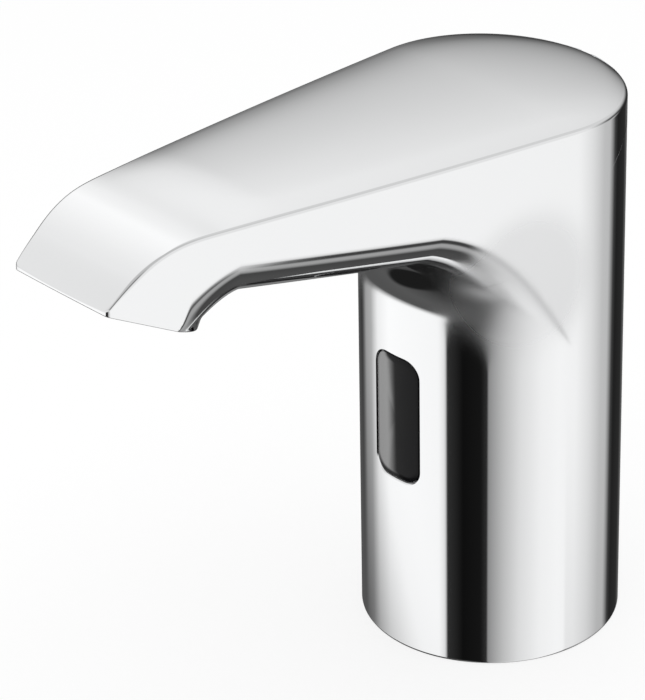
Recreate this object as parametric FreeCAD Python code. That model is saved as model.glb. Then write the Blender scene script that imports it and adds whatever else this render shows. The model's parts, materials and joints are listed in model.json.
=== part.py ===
import FreeCAD
import Part
import math
import os

# Electronic basin tap: a hollow cast column with a forward spout, an infrared sensor behind a dark window,
# and inside the column an inlet filter, a non-return valve, a pilot-operated solenoid valve and the pipe
# that feeds the aerator. Millimetres. The column stands on Z with its base on z = 0; the spout points to -Y.

# ---- outer form of the cast body ----
COLUMN_R = 25.0          # outside radius of the column
TOP_Z = 110.2            # height of the flat top face on the column's axis
TOP_SLOPE = 0.054        # rise of the top face for each millimetre towards the spout's tip
WALL = 2.8               # wall of the casting
SIDE_START_DEG = 5.2     # taper of the spout's side walls where they leave the column
TIP_HALF_WIDTH = 14.1    # half width of the spout at the outlet's centre line
TIP_Y = -92.0            # where that half width is measured
REACH = 103.3            # from the column's axis to the corners of the front lip
LIP_BULGE = 0.6          # how far the front lip bows out between its corners
LIP_CORNER_R = 1.2       # plan radius of the front lip's corners
NOSE_START_Y = -84.0     # where the top face starts to curl down
NOSE_R = 21.0            # radius of that curl
NOSE_DEG = 39.0          # slope at which the curl runs out to the lip
UNDER_DROP = 7.886       # from the top face's height on the axis down to the underside over the outlet
UNDER_Z = TOP_Z - UNDER_DROP
UNDER_SLOPE = 0.195      # rise of the underside for each millimetre towards the tip
THROAT_R = 19.0          # hollow fillet between the column and the underside
LOWER_EDGE_R = 8.0       # rounding of the spout's two lower edges
ROOT_SETBACK = 0.5       # the lower edges run out this far in front of the side walls' tangent line
CREASE_R = 0.7           # small radius round the edge of the top face
FOOT_R = 0.6             # small radius round the foot of the column

# ---- outlet ----
OUTLET_Y = -90.2         # centre of the outlet's rim
OUTLET_DROP = 11.6       # from the top face's height on the axis down to the rim's centre
OUTLET_Z = TOP_Z - OUTLET_DROP
OUTLET_TILT_DEG = 27.6   # the rim's plane faces down and forward by this angle
NECK_R = 6.0             # hollow fillet between the underside and the outlet neck
AERATOR_R = 11.0         # bore for the aerator, a fine M22 thread taken smooth
AERATOR_DEPTH = 6.2
CHAMBER_R = 8.0          # mixing chamber above the aerator
CHAMBER_DEPTH = 3.0

# ---- sensor window ----
WINDOW_W = 11.5
WINDOW_H = 27.0
WINDOW_Z = 50.2          # height of the window's centre
WINDOW_CORNER_R = 3.3
WINDOW_INSET = 0.15      # the lens stands this far behind the column's surface
FLANGE_MARGIN = 1.6      # the lens's flange is this much wider than its face, all round
FLANGE_T = 1.3
GASKET_T = 0.5

# ---- base ----
BASE_T = 8.0             # thickness of the base plate
INLET_R = 4.5            # inlet hole, an M10 x 1 thread taken smooth
COLLAR_R = 6.6           # collar of the base plate inside the valve's inlet socket
COLLAR_H = 3.5
COLLAR_BORE_R = 4.9
STUD_R = 2.5             # two holes for M6 fixing studs, taken at the tapping size
STUD_X = 14.0
STUD_Y = 3.0
BASE_SCREW_PCR = COLUMN_R - 8.5  # pitch circle radius of the three screws that hold the base plate
BASE_SCREW_ANGLES = (90, 210, 330)
VALVE_SCREW_XY = 7.2     # the two screws that hold the valve stand this far to each side and to the back
MODULE_DEPTH = 10.4      # from the column's outside back to the sensor housing's rear and the cable hole
CABLE_Y = MODULE_DEPTH - COLUMN_R
CABLE_R = 2.4            # bore of the rubber grommet
GROMMET_R = 3.7
GROMMET_LIP = 0.9
LIP_T = 1.1
GROMMET_INSET = 0.3      # the grommet's lower face stands this far above the deck
SEAL_R = COLUMN_R - 4.2  # middle radius of the seal under the base
SEAL_W = 1.5
SEAL_T = 1.7

# ---- screws ----
SCREW_R = 1.5            # M3
SCREW_HEAD_R = 2.8
SCREW_HEAD_H = 1.7
LUG_R = 3.2              # metal round a screw
SMALL_SCREW_R = 1.25     # M2.5
SMALL_HEAD_R = 2.2
SMALL_HEAD_H = 1.2
SCREW_BITE = 5.5         # length of thread in the part that is drawn on
SCREW_END = 1.0          # metal beyond a screw's blind end
SENSOR_SCREW_BITE = 2.6
DRIVE_R = 1.2            # socket across the head, centre to corner
DRIVE_DEPTH = 0.9

# ---- place of the pipe, which sets the room for the valve ----
PIPE_R = 3.2             # quarter-inch pipe
PIPE_Y = COLUMN_R - 8.0  # the pipe rises behind the valve
PIPE_ROOM = 1.4          # between the pipe and the valve's round block

# ---- valve body ----
SOCKET_R = 6.9           # inlet socket
SOCKET_WALL = 2.3
SOCKET_TOP = 26.0
BLOCK_R = PIPE_Y - PIPE_R - PIPE_ROOM  # round block that carries the diaphragm
BLOCK_TOP = 44.0
FOOT_H = 3.0
SEAT_R = 3.2             # bore of the main seat
SEAT_WALL = 1.2
SEAT_TOP = 43.4
RING_R = BLOCK_R - 3.4   # outside of the ring chamber round the seat
RING_FLOOR = 36.0
FEED_R = 1.3             # three holes from the socket to the ring chamber
FEED_PCR = 5.75
FEED_ANGLES = (270, 20, 160)
OUTLET_PORT_Z = 30.6     # height of the cross hole from the seat to the pipe
PORT_R = 2.6
PORT_FLOOR = 1.4         # plastic under the cross hole
BRIDGE_RISE = 3.0        # the bridge to the pipe's boss stands this far above the pipe's end
CLAMP_PCR = BLOCK_R + 1.8  # pitch circle radius of the four bonnet screws
CLAMP_LUG_R = 2.8
CLAMP_LUG_H = 9.0

# ---- pipe from the valve to the outlet ----
PIPE_WALL = 0.8
PIPE_START_Z = 33.6
PIPE_BEND_R = 14.0
PIPE_DROP = 7.7          # depth of the pipe's centre line below the top face
PIPE_BOSS_R = 4.9
PIPE_BOSS_TOP = 42.0
PIPE_STOP = 0.2          # the pipe's end stands this far above the floor of its socket
COLLET_LEN = 1.8         # the collet's sleeve below its flange
COLLET_FLANGE_T = 1.3
FITTING_R = 5.0          # brass sleeve on the pipe's front end
FITTING_LEN = 7.2
CAVITY_END_Y = -66.0     # end of the hollow inside the spout
SOCKET_DEPTH = 8.0       # depth of the sleeve's seat beyond the hollow
SOCKET_RUN_IN = 2.0      # the seat's bore starts this far inside the hollow
SLEEVE_STOP = 0.4        # the sleeve ends this far short of its seat's floor
PIPE_END_STOP = 0.6      # and the pipe this far
PASSAGE_R = 3.0          # drilled way from the sleeve to the chamber
RING_SECTION = 1.0       # half thickness of the rubber rings

# ---- inlet filter and non-return valve ----
WASHER_T = 1.5
FILTER_FLANGE_T = 1.1
FILTER_R = 4.2
FILTER_DEPTH = 4.2
FILTER_WALL = 0.6
FILTER_SLOTS = 4         # cross cuts, each through both sides
FILTER_SLOT_W = 0.8
CHECK_LEN = 11.5
CHECK_WALL = 1.2
CHECK_SEAT_R = 3.4
CHECK_SEAT_T = 1.6
POPPET_R = 4.9
POPPET_T = 1.6
POPPET_STEM_R = 1.05
POPPET_CHAMFER = 0.5
POPPET_TRAVEL = 2.5
POPPET_STOP = 0.3        # left between the poppet and its guide when it is fully up
SEAL_INSET = 0.2         # the seal is this much smaller than the poppet, on the radius
CHECK_SEAL_T = 0.55
GUIDE_R = 1.9
GUIDE_HOLES = 4
CHECK_TURNS = 4

# ---- solenoid ----
DIAPHRAGM_R = BLOCK_R - 0.5
BEAD_W = 2.2
BEAD_T = 1.2
WEB_T = 0.6
PAD_MARGIN = 1.0         # the diaphragm's pad reaches this far beyond the seat
CORE_STUB_R = 1.8
CORE_DISC_R = RING_R - 0.8
CORE_DISC_T = 1.5
DIAPHRAGM_LIFT = 1.2
PILOT_R = 0.5
PILOT_RIM_R = 1.3
PILOT_RIM_H = 0.6
BONNET_CHAMBER_R = BLOCK_R - 2.8
BONNET_ROOF = 2.0
CORE_ROOM = 0.5          # left above the diaphragm's core when it is fully up
BONNET_LUG_T = 3.5       # thickness of the bonnet under its screws
BONNET_HEAD_R = 2.6      # heads of the bonnet screws
BONNET_T = BONNET_ROOF + CORE_DISC_T + PILOT_RIM_H + DIAPHRAGM_LIFT + CORE_ROOM
TUBE_R = 4.6             # armature tube
TUBE_WALL = 0.45
TUBE_FLANGE_R = 6.6
TUBE_FLANGE_T = 1.0
PLUNGER_LEN = 13.8
PLUNGER_LIFT = 1.8
POLE_GAP = 0.2           # left between the plunger and the pole when the plunger is fully up
PLUNGER_TURNS = 5
PLUNGER_TIP_R = 2.0
PLUNGER_TIP_T = 1.7
SPRING_R = 1.9           # middle radius of the two springs' coils
SPRING_WIRE = 0.5        # thickness of their flat wire
SPRING_POCKET_DEPTH = 4.0
YOKE_T = 1.5
YOKE_WIDTH = 16.0
YOKE_HALF_X = 12.0
YOKE_BEND_R = 1.2
BOBBIN_H = 16.8
BOBBIN_R = 10.2
BOBBIN_FLANGE_T = 1.2
BOBBIN_TUBE_WALL = 0.85
WINDING_R = 9.6
STUB_R = 3.0
NUT_H = 3.0
NUT_FLATS = 10.0
STUB_RISE = 1.0          # thread that shows above the nut
BLADE_H = 5.6
BLADE_W = 2.8
BLADE_T = 0.8
BLADE_GAP = 0.4          # between the blades and the yoke

# ---- sensor module ----
HOUSING_WALL = 1.2
HOUSING_BACK_Y = MODULE_DEPTH - COLUMN_R
DIVIDER_T = 1.0
BOARD_T = 1.0
EMITTER_R = 1.5
EMITTER_RISE = 7.0       # above the window's centre
RECEIVER_R = 2.0
RECEIVER_DROP = 6.5      # below the window's centre
DOME_RATIO = 1.25        # radius of a diode's domed front, to the diode's own radius
EYE_GAP = 0.8            # between the diodes and the lens
LED_X = 3.2
LED_RISE = 2.6           # above the window's centre
LED_W = 1.6
LED_H = 1.2
LED_T = 0.8
CHIP_W = 5.0
CHIP_H = 2.8
CHIP_T = 1.0
CHIP_MARGIN = 0.6        # above the window's lower end
EAR_X = WINDOW_W / 2 + 5.05
EAR_T = 1.6
EAR_H = 7.0

# ---- aerator ----
AERATOR_WALL = 1.5
AERATOR_SEAL_T = 0.9
AERATOR_INSET = 0.2      # the cup's rim stands this far inside the bore
KEY_W = 2.4              # slots for the aerator key
KEY_DEPTH = 1.1
LIMITER_SEAT = 0.4       # the cup's throat is this much narrower than the chamber, on the radius
LIMITER_T = 1.2
LIMITER_HOLES = 6
GRID_PITCH = 2.9
GRID_WEB = 0.7
GRID_T = 1.7
GRID_INSET = 0.8         # the grid's face stands this far inside the bore
GRID_REACH = 2           # cells to each side of the middle one
SCREEN_T = 0.4
SCREEN_SLOTS = 12
SCREEN_SLOT_W = 0.8
SCREEN_HUB_R = 2.2
SCREEN_RIM_W = 1.2
LIMITER_HOLE_R = 1.0

# ---- clearances ----
FIT = 0.1                # between pieces that slide together or pass through each other
RUN = 0.08               # running clearance on the radius of moving pieces
SEAT_GAP = 0.05          # between a soft seal and what it closes on, at rest
SCREW_FIT = 0.05
HAIR = 0.02              # between pieces that are pressed together

Z_AXIS = FreeCAD.Vector(0, 0, 1)
TALL = 150.0             # longer than the part in any direction
OVER = 1.0               # cutting shapes and joined shapes reach this far past their faces
BEYOND = 5.0             # construction outlines reach this far past the column
NEAR = 1e-4              # closeness used to pick edges
LOOSE = 0.01             # closeness used with the boxes round edges


def point(x, y, z):
    return FreeCAD.Vector(x, y, z)


def mirrored(p):
    return point(-p.x, p.y, p.z)


def top_z(y):
    return TOP_Z - TOP_SLOPE * y


def under_z(y):
    return UNDER_Z - UNDER_SLOPE * (y - OUTLET_Y)


def rod(radius, z0, z1, x=0.0, y=0.0):
    """Upright cylinder."""
    return Part.makeCylinder(radius, z1 - z0, point(x, y, z0))


def tube(inner, outer, z0, z1, x=0.0, y=0.0):
    """Upright ring."""
    return rod(outer, z0, z1, x, y).cut(rod(inner, z0 - OVER, z1 + OVER, x, y))


def block(x0, x1, y0, y1, z0, z1):
    return Part.makeBox(x1 - x0, y1 - y0, z1 - z0, point(x0, y0, z0))


def turned(profile, x=0.0, y=0.0):
    """Solid of revolution about an upright axis, from (radius, height) corners."""
    corners = [point(x + r, y, z) for r, z in profile]
    face = Part.Face(Part.makePolygon(corners + [corners[0]]))
    return face.revolve(point(x, y, 0), Z_AXIS, 360)


def prism(corners, direction):
    """Straight-sided outline carried along a direction."""
    return Part.Face(Part.makePolygon(corners + [corners[0]])).extrude(direction)


def polar(radius, degrees):
    return radius * math.cos(math.radians(degrees)), radius * math.sin(math.radians(degrees))


def rounded_panel(width, height, corner, y0, y1, z_mid):
    """Rounded rectangle in the XZ plane, from y0 to y1."""
    panel = block(-width / 2, width / 2, y0, y1, z_mid - height / 2, z_mid + height / 2)
    along = [e for e in panel.Edges if abs(e.tangentAt(e.FirstParameter).y) > 1 - NEAR]
    return panel.makeFillet(corner, along)


def hexagon(radius, z):
    """Corners of a hexagon at that height."""
    return [point(*polar(radius, 60 * k), z) for k in range(6)]


def window_panel(margin):
    """The window's outline grown by the margin, from in front of the column back to the housing's rear."""
    width, height = WINDOW_W + 2 * margin, WINDOW_H + 2 * margin
    return rounded_panel(width, height, WINDOW_CORNER_R + margin, -COLUMN_R - OVER, HOUSING_BACK_Y, WINDOW_Z)


def screw(radius, head_r, head_h, length):
    """Socket screw, head up, with the head's underside on z = 0."""
    body = rod(head_r, 0, head_h).fuse(rod(radius, -length, 0))
    corners = hexagon(DRIVE_R * head_r / SCREW_HEAD_R, head_h - DRIVE_DEPTH)
    return body.removeSplitter().cut(prism(corners, Z_AXIS * (DRIVE_DEPTH + OVER)))


def countersunk(length):
    """Flat-headed screw, head down, with its face on z = 0."""
    body = turned([(0, 0), (SCREW_HEAD_R, 0), (SCREW_R, SCREW_HEAD_H), (SCREW_R, length), (0, length)])
    return body.cut(prism(hexagon(DRIVE_R, -OVER), Z_AXIS * (OVER + DRIVE_DEPTH)))


def countersink(z_end, x, y):
    """Hole for such a screw, from z = 0 upwards."""
    r = SCREW_R + SCREW_FIT
    head = SCREW_HEAD_R + SCREW_FIT
    return turned([(0, -OVER), (head, -OVER), (head, 0), (r, SCREW_HEAD_H), (r, z_end), (0, z_end)], x, y)


def spring(mean_r, wire, z0, z1, turns):
    """Open coil spring of square wire, ends square to the axis."""
    height = z1 - z0 - wire
    path = Part.makeHelix(height / turns, height, mean_r)
    half = wire / 2
    corners = [point(mean_r - half, 0, -half), point(mean_r + half, 0, -half)]
    corners += [point(mean_r + half, 0, half), point(mean_r - half, 0, half)]
    section = Part.makePolygon(corners + [corners[0]])
    coil = Part.Wire(path).makePipeShell([section], True, True)
    coil.translate(point(0, 0, z0 + half))
    return coil


# ---- outline of the spout seen from above ----
SIDE_ANGLE = math.radians(SIDE_START_DEG)
SIDE_START = point(COLUMN_R * math.cos(SIDE_ANGLE), -COLUMN_R * math.sin(SIDE_ANGLE), 0)


def side_arc_centre():
    """The side wall leaves the column tangentially and reaches the tip's half width in one long arc."""
    chord = point(TIP_HALF_WIDTH, TIP_Y, 0) - SIDE_START
    inward = SIDE_START * (-1 / COLUMN_R)
    radius = chord.dot(chord) / (2 * inward.dot(chord))
    return SIDE_START + inward * radius, radius


SIDE_CENTRE, SIDE_R = side_arc_centre()


def side_point(y, inset=0.0):
    """Point of the side wall at y, moved into the metal by the inset."""
    return point(SIDE_CENTRE.x + math.sqrt((SIDE_R - inset) ** 2 - (y - SIDE_CENTRE.y) ** 2), y, 0)


def side_edge(start, end, inset=0.0):
    return Part.Arc(start, side_point((start.y + end.y) / 2, inset), end).toShape()


def plan_prism():
    """Column circle, two long side arcs, and a slightly bowed front lip with small corners."""
    tip = side_point(TIP_Y)
    radial = (tip - SIDE_CENTRE).normalize()
    heading = point(radial.y, -radial.x, 0)
    corner = tip + heading * ((-REACH - tip.y) / heading.y)
    lip = Part.Arc(corner, point(0, -REACH - LIP_BULGE, 0), mirrored(corner)).toShape()
    back = Part.Arc(mirrored(SIDE_START), point(0, COLUMN_R, 0), SIDE_START).toShape()
    right = [side_edge(SIDE_START, tip), Part.makeLine(tip, corner)]
    middle = mirrored(side_point((SIDE_START.y + tip.y) / 2))
    left_arc = Part.Arc(mirrored(tip), middle, mirrored(SIDE_START))
    left = [Part.makeLine(mirrored(corner), mirrored(tip)), left_arc.toShape()]
    solid = Part.Face(Part.Wire(right + [lip] + left + [back])).extrude(point(0, 0, TALL))
    uprights = [e for e in solid.Edges if e.Length > TALL - OVER and e.BoundBox.YMax < -REACH + LOOSE]
    return solid.makeFillet(LIP_CORNER_R, uprights)


def side_prism():
    """Everything under the top face and its curl, seen from the side."""
    slope = math.atan(TOP_SLOPE)
    start = point(0, NOSE_START_Y, top_z(NOSE_START_Y))
    centre = start + point(0, -math.sin(slope), -math.cos(slope)) * NOSE_R

    def on_curl(angle):
        return centre + point(0, -math.sin(angle), math.cos(angle)) * NOSE_R

    end_angle = math.radians(NOSE_DEG)
    end = on_curl(end_angle)
    tip = end + point(0, -math.cos(end_angle), -math.sin(end_angle)) * (REACH + NOSE_START_Y)
    back = point(0, COLUMN_R + BEYOND, top_z(COLUMN_R + BEYOND))
    foot = [point(0, tip.y, -BEYOND), point(0, back.y, -BEYOND)]
    curl = Part.Arc(start, on_curl((end_angle - slope) / 2), end).toShape()
    edges = [Part.makeLine(back, start), curl, Part.makeLine(end, tip), Part.makeLine(tip, foot[0])]
    edges += [Part.makeLine(foot[0], foot[1]), Part.makeLine(foot[1], back)]
    solid = Part.Face(Part.Wire(edges)).extrude(point(2 * TALL, 0, 0))
    return solid.translated(point(-TALL, 0, 0))


def outlet_up():
    tilt = math.radians(OUTLET_TILT_DEG)
    return point(0, math.sin(tilt), math.cos(tilt))


OUTLET = point(0, OUTLET_Y, OUTLET_Z)


def at_outlet(shape):
    """Moves a piece drawn upright on z = 0 to the outlet, with its foot on the rim's plane."""
    placed = shape.copy()
    placed.rotate(point(0, 0, 0), point(1, 0, 0), -OUTLET_TILT_DEG)
    placed.translate(OUTLET)
    return placed


def along_pipe(y):
    """Point of the pipe's front run."""
    return point(0, y, top_z(y) - PIPE_DROP)


PIPE_HEADING = point(0, -1, TOP_SLOPE).normalize()


def pipe_rod(radius, y0, y1):
    """Cylinder on the pipe's front run between two places along the spout."""
    start = along_pipe(y0)
    return Part.makeCylinder(radius, (along_pipe(y1) - start).Length, start, PIPE_HEADING)


def edges_on(shape, test):
    return [e for e in shape.Edges if all(test(p) for p in e.discretize(5))]


def rough_form():
    """The casting before its edges are softened."""
    far, near = COLUMN_R + 3 * BEYOND, -REACH - COLUMN_R
    low = [point(0, far, under_z(far)), point(0, near, under_z(near))]
    high = [point(0, near, TALL), point(0, far, TALL)]
    slab = prism(low + high, point(2 * TALL, 0, 0)).translated(point(-TALL, 0, 0))
    column = rod(COLUMN_R, 0, TOP_Z + 2 * BEYOND)
    form = slab.fuse(column)
    reach = COLUMN_R + NEAR
    throat = edges_on(form, lambda p: abs(p.z - under_z(p.y)) < NEAR and math.hypot(p.x, p.y) < reach)
    form = form.makeFillet(THROAT_R, throat)
    neck_r = TIP_HALF_WIDTH + FIT
    form = form.fuse(Part.makeCylinder(neck_r, 2 * neck_r, OUTLET, outlet_up()))
    neck = edges_on(form, lambda p: abs(p.z - under_z(p.y)) < NEAR and (p - OUTLET).Length < 2 * neck_r)
    form = form.makeFillet(NECK_R, neck)
    sides = side_prism()
    below_rim = Part.makeCylinder(3 * neck_r, TALL, OUTLET, outlet_up() * -1)
    form = form.common(plan_prism()).common(sides).cut(below_rim)
    front = block(-TALL, TALL, -TALL, SIDE_START.y, -OVER, TALL)
    return form.common(front).fuse(column.common(sides)).removeSplitter()


def on_crease(p):
    """On the edge of the top face, leaving out its front end where the curl begins."""
    return abs(p.z - top_z(p.y)) < NEAR and (abs(p.x) > TIP_HALF_WIDTH or p.y > 0)


def is_lower_edge(edge):
    """The long edges between the spout's side walls and its underside, from the column to the neck."""
    box = edge.BoundBox
    outside = min(abs(box.XMin), abs(box.XMax)) > TIP_HALF_WIDTH and box.XMin * box.XMax > 0
    in_height = box.ZMax < under_z(TIP_Y) and box.ZMin > under_z(-COLUMN_R) - 2 * THROAT_R
    return outside and in_height and box.YMax - box.YMin > NECK_R


def outer_form():
    """The casting's outside, filled solid."""
    form = rough_form()
    form = form.makeFillet(FOOT_R, edges_on(form, lambda p: abs(p.z) < NEAR))
    form = form.makeFillet(CREASE_R, edges_on(form, on_crease))
    split_y = SIDE_START.y - ROOT_SETBACK
    spout = form.common(block(-TALL, TALL, -TALL, split_y, -OVER, TALL))
    spout = spout.makeFillet(LOWER_EDGE_R, [e for e in spout.Edges if is_lower_edge(e)])
    rear = form.common(block(-TALL, TALL, split_y, TALL, -OVER, TALL))
    return spout.fuse(rear).removeSplitter()


def hollow():
    """The space inside the column and the spout."""
    inner_r = COLUMN_R - WALL
    ceiling = WALL * math.hypot(1, TOP_SLOPE)
    floor = WALL * math.hypot(1, UNDER_SLOPE)
    far = COLUMN_R + BEYOND
    corners = [point(0, far, -OVER), point(0, -COLUMN_R, -OVER)]
    corners += [point(0, -COLUMN_R, top_z(-COLUMN_R) - ceiling), point(0, far, top_z(far) - ceiling)]
    below_top = prism(corners, point(2 * TALL, 0, 0)).translated(point(-TALL, 0, 0))
    bore = rod(inner_r, -OVER, TALL).common(below_top)
    start = SIDE_START * (inner_r / COLUMN_R)
    end = side_point(CAVITY_END_Y, WALL)
    middle = side_point((start.y + end.y) / 2, WALL)
    outline = [side_edge(start, end, WALL), Part.makeLine(end, mirrored(end))]
    outline += [Part.Arc(mirrored(end), mirrored(middle), mirrored(start)).toShape()]
    outline += [Part.makeLine(mirrored(start), start)]
    room = Part.Face(Part.Wire(outline)).extrude(point(0, 0, TALL))
    near, tip = start.y + OVER, CAVITY_END_Y - OVER
    corners = [point(0, near, under_z(near) + floor), point(0, tip, under_z(tip) + floor)]
    corners += [point(0, tip, top_z(tip) - ceiling), point(0, near, top_z(near) - ceiling)]
    room = room.common(prism(corners, point(2 * TALL, 0, 0)).translated(point(-TALL, 0, 0)))
    low = edges_on(room, lambda p: abs(p.z - under_z(p.y) - floor) < NEAR and abs(p.x) > end.x - LOOSE)
    sides = [e for e in low if e.Length > COLUMN_R]
    return bore.fuse(room.makeFillet(LOWER_EDGE_R - WALL, sides))


def base_screw_places():
    return [polar(BASE_SCREW_PCR, angle) for angle in BASE_SCREW_ANGLES]


def valve_screw_places():
    return [(-VALVE_SCREW_XY, VALVE_SCREW_XY), (VALVE_SCREW_XY, VALVE_SCREW_XY)]


def sensor_screw_y():
    """The ears of the sensor housing bear on this plane."""
    return HOUSING_BACK_Y - HOUSING_WALL - EAR_T


def ear_rod(side, radius, y0, y1):
    """Cylinder along Y on the axis of one of the sensor housing's screws."""
    return Part.makeCylinder(radius, y1 - y0, point(side * EAR_X, y0, WINDOW_Z), point(0, 1, 0))


def base_lug(x, y):
    """Boss on the column's inner wall that takes a base screw."""
    angle = math.degrees(math.atan2(y, x))
    top = BASE_T + SCREW_BITE + SCREW_END
    web = block(-LUG_R, LUG_R, 0, COLUMN_R - WALL + OVER - BASE_SCREW_PCR, BASE_T, top)
    web.rotate(point(0, 0, 0), Z_AXIS, angle - 90)
    return rod(LUG_R, BASE_T, top, x, y).fuse(web.translated(point(x, y, 0)))


def sensor_boss(side):
    """Boss on the front wall that carries an ear of the sensor housing."""
    start = -math.sqrt((COLUMN_R - WALL) ** 2 - EAR_X ** 2) - OVER
    return ear_rod(side, SMALL_HEAD_R + FIT, start, sensor_screw_y())


def tap_body():
    form = outer_form().cut(hollow())
    form = form.fuse([base_lug(x, y) for x, y in base_screw_places()])
    form = form.fuse([sensor_boss(side) for side in (-1, 1)])
    for x, y in base_screw_places():
        form = form.cut(rod(SCREW_R + SCREW_FIT, BASE_T - OVER, BASE_T + SCREW_BITE + SCREW_END / 2, x, y))
    ear_y = sensor_screw_y()
    for side in (-1, 1):
        hole = ear_rod(side, SMALL_SCREW_R + SCREW_FIT, ear_y - SENSOR_SCREW_BITE - FIT, ear_y + OVER)
        form = form.cut(hole)
    form = form.cut(window_panel(FIT).cut(rod(COLUMN_R - WALL - OVER, -OVER, TALL)))
    form = form.cut(pipe_rod(FITTING_R + FIT, CAVITY_END_Y + SOCKET_RUN_IN, CAVITY_END_Y - SOCKET_DEPTH))
    form = form.cut(pipe_rod(PASSAGE_R, CAVITY_END_Y, OUTLET_Y + PASSAGE_R))
    form = form.cut(at_outlet(rod(CHAMBER_R, -OVER, AERATOR_DEPTH + CHAMBER_DEPTH)))
    form = form.cut(at_outlet(rod(AERATOR_R, -OVER, AERATOR_DEPTH)))
    return form.removeSplitter()


def base_plate():
    plate = rod(COLUMN_R - WALL - FIT, 0, BASE_T).fuse(rod(COLLAR_R, BASE_T - OVER, BASE_T + COLLAR_H))
    plate = plate.cut(rod(INLET_R, -OVER, BASE_T)).cut(rod(COLLAR_BORE_R, BASE_T, BASE_T + COLLAR_H + OVER))
    groove = tube(SEAL_R - SEAL_W / 2 - FIT, SEAL_R + SEAL_W / 2 + FIT, -OVER, SEAL_T + FIT)
    plate = plate.cut(groove)
    for x in (-STUD_X, STUD_X):
        plate = plate.cut(rod(STUD_R, -OVER, BASE_T + OVER, x, STUD_Y))
    for x, y in base_screw_places() + valve_screw_places():
        plate = plate.cut(countersink(BASE_T + OVER, x, y))
    plate = plate.cut(rod(GROMMET_R + FIT, -OVER, BASE_T + OVER, 0, CABLE_Y))
    recess = rod(GROMMET_R + GROMMET_LIP + FIT, -OVER, GROMMET_INSET + LIP_T, 0, CABLE_Y)
    return plate.cut(recess).removeSplitter()


def base_seal():
    return tube(SEAL_R - SEAL_W / 2, SEAL_R + SEAL_W / 2, 0, SEAL_T)


def cable_grommet():
    lip = GROMMET_R + GROMMET_LIP
    low = GROMMET_INSET + LIP_T
    profile = [(CABLE_R, GROMMET_INSET), (lip, GROMMET_INSET), (lip, low), (GROMMET_R, low)]
    profile += [(GROMMET_R, BASE_T), (lip, BASE_T), (lip, BASE_T + LIP_T), (CABLE_R, BASE_T + LIP_T)]
    return turned(profile, 0, CABLE_Y)


def group(shape, places, z):
    return Part.makeCompound([shape.translated(point(x, y, z)) for x, y in places])


WASHER_Z = BASE_T + COLLAR_H
FILTER_Z = WASHER_Z + WASHER_T
CHECK_Z = FILTER_Z + FILTER_FLANGE_T


def inlet_strainer():
    """Flanged basket that hangs in the collar, slotted round its wall."""
    profile = [(0, FILTER_Z - FILTER_DEPTH), (FILTER_R, FILTER_Z - FILTER_DEPTH), (FILTER_R, FILTER_Z)]
    profile += [(SOCKET_R - FIT, FILTER_Z), (SOCKET_R - FIT, CHECK_Z), (FILTER_R - FILTER_WALL, CHECK_Z)]
    inside = FILTER_Z - FILTER_DEPTH + FILTER_WALL
    profile += [(FILTER_R - FILTER_WALL, inside), (0, inside)]
    basket = turned(profile)
    half = FILTER_SLOT_W / 2
    for k in range(FILTER_SLOTS):
        slot = block(-TALL, TALL, -half, half, inside + FILTER_WALL / 2, FILTER_Z - FILTER_WALL)
        slot.rotate(point(0, 0, 0), Z_AXIS, 180 / FILTER_SLOTS * k)
        basket = basket.cut(slot)
    return basket


def check_levels():
    """Heights of the non-return valve: seat face, poppet's underside and top, underside of the guide web."""
    seat = CHECK_Z + CHECK_SEAT_T
    under = seat + SEAT_GAP + CHECK_SEAL_T
    return seat, under, under + POPPET_T, CHECK_Z + CHECK_LEN - CHECK_WALL


def check_housing():
    seat, under, top, web = check_levels()
    outer, inner = SOCKET_R - FIT, SOCKET_R - FIT - CHECK_WALL
    roof = web + CHECK_WALL
    profile = [(CHECK_SEAT_R, CHECK_Z), (outer, CHECK_Z), (outer, roof), (0, roof), (0, web)]
    profile += [(inner, web), (inner, seat), (CHECK_SEAT_R, seat)]
    shell = turned(profile).fuse(rod(GUIDE_R, top + POPPET_TRAVEL + POPPET_STOP, web + FIT))
    shell = shell.cut(rod(POPPET_STEM_R + RUN, top, roof + OVER))
    for k in range(GUIDE_HOLES):
        x, y = polar((GUIDE_R + inner) / 2, 360 / GUIDE_HOLES * (k + 0.5))
        shell = shell.cut(rod(FEED_R, web - OVER, roof + OVER, x, y))
    return shell.removeSplitter()


def check_poppet():
    seat, under, top, web = check_levels()
    stem_top = web + CHECK_WALL - POPPET_TRAVEL - FIT
    nose_r = CHECK_SEAT_R / 2
    profile = [(0, seat - POPPET_T / 2), (nose_r, seat - POPPET_T / 2), (nose_r, under), (POPPET_R, under)]
    profile += [(POPPET_R, top - POPPET_CHAMFER), (POPPET_R - POPPET_CHAMFER, top), (POPPET_STEM_R, top)]
    return turned(profile + [(POPPET_STEM_R, stem_top), (0, stem_top)])


def check_seal():
    seat, under, top, web = check_levels()
    return tube(CHECK_SEAT_R / 2 + SEAT_GAP, POPPET_R - SEAL_INSET, seat + SEAT_GAP, under)


def check_spring():
    seat, under, top, web = check_levels()
    return spring(GUIDE_R + 2 * FIT + SPRING_WIRE, SPRING_WIRE, top + SEAT_GAP, web - SEAT_GAP, CHECK_TURNS)


def clamp_places():
    return [polar(CLAMP_PCR, 45 + 90 * k) for k in range(4)]


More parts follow.
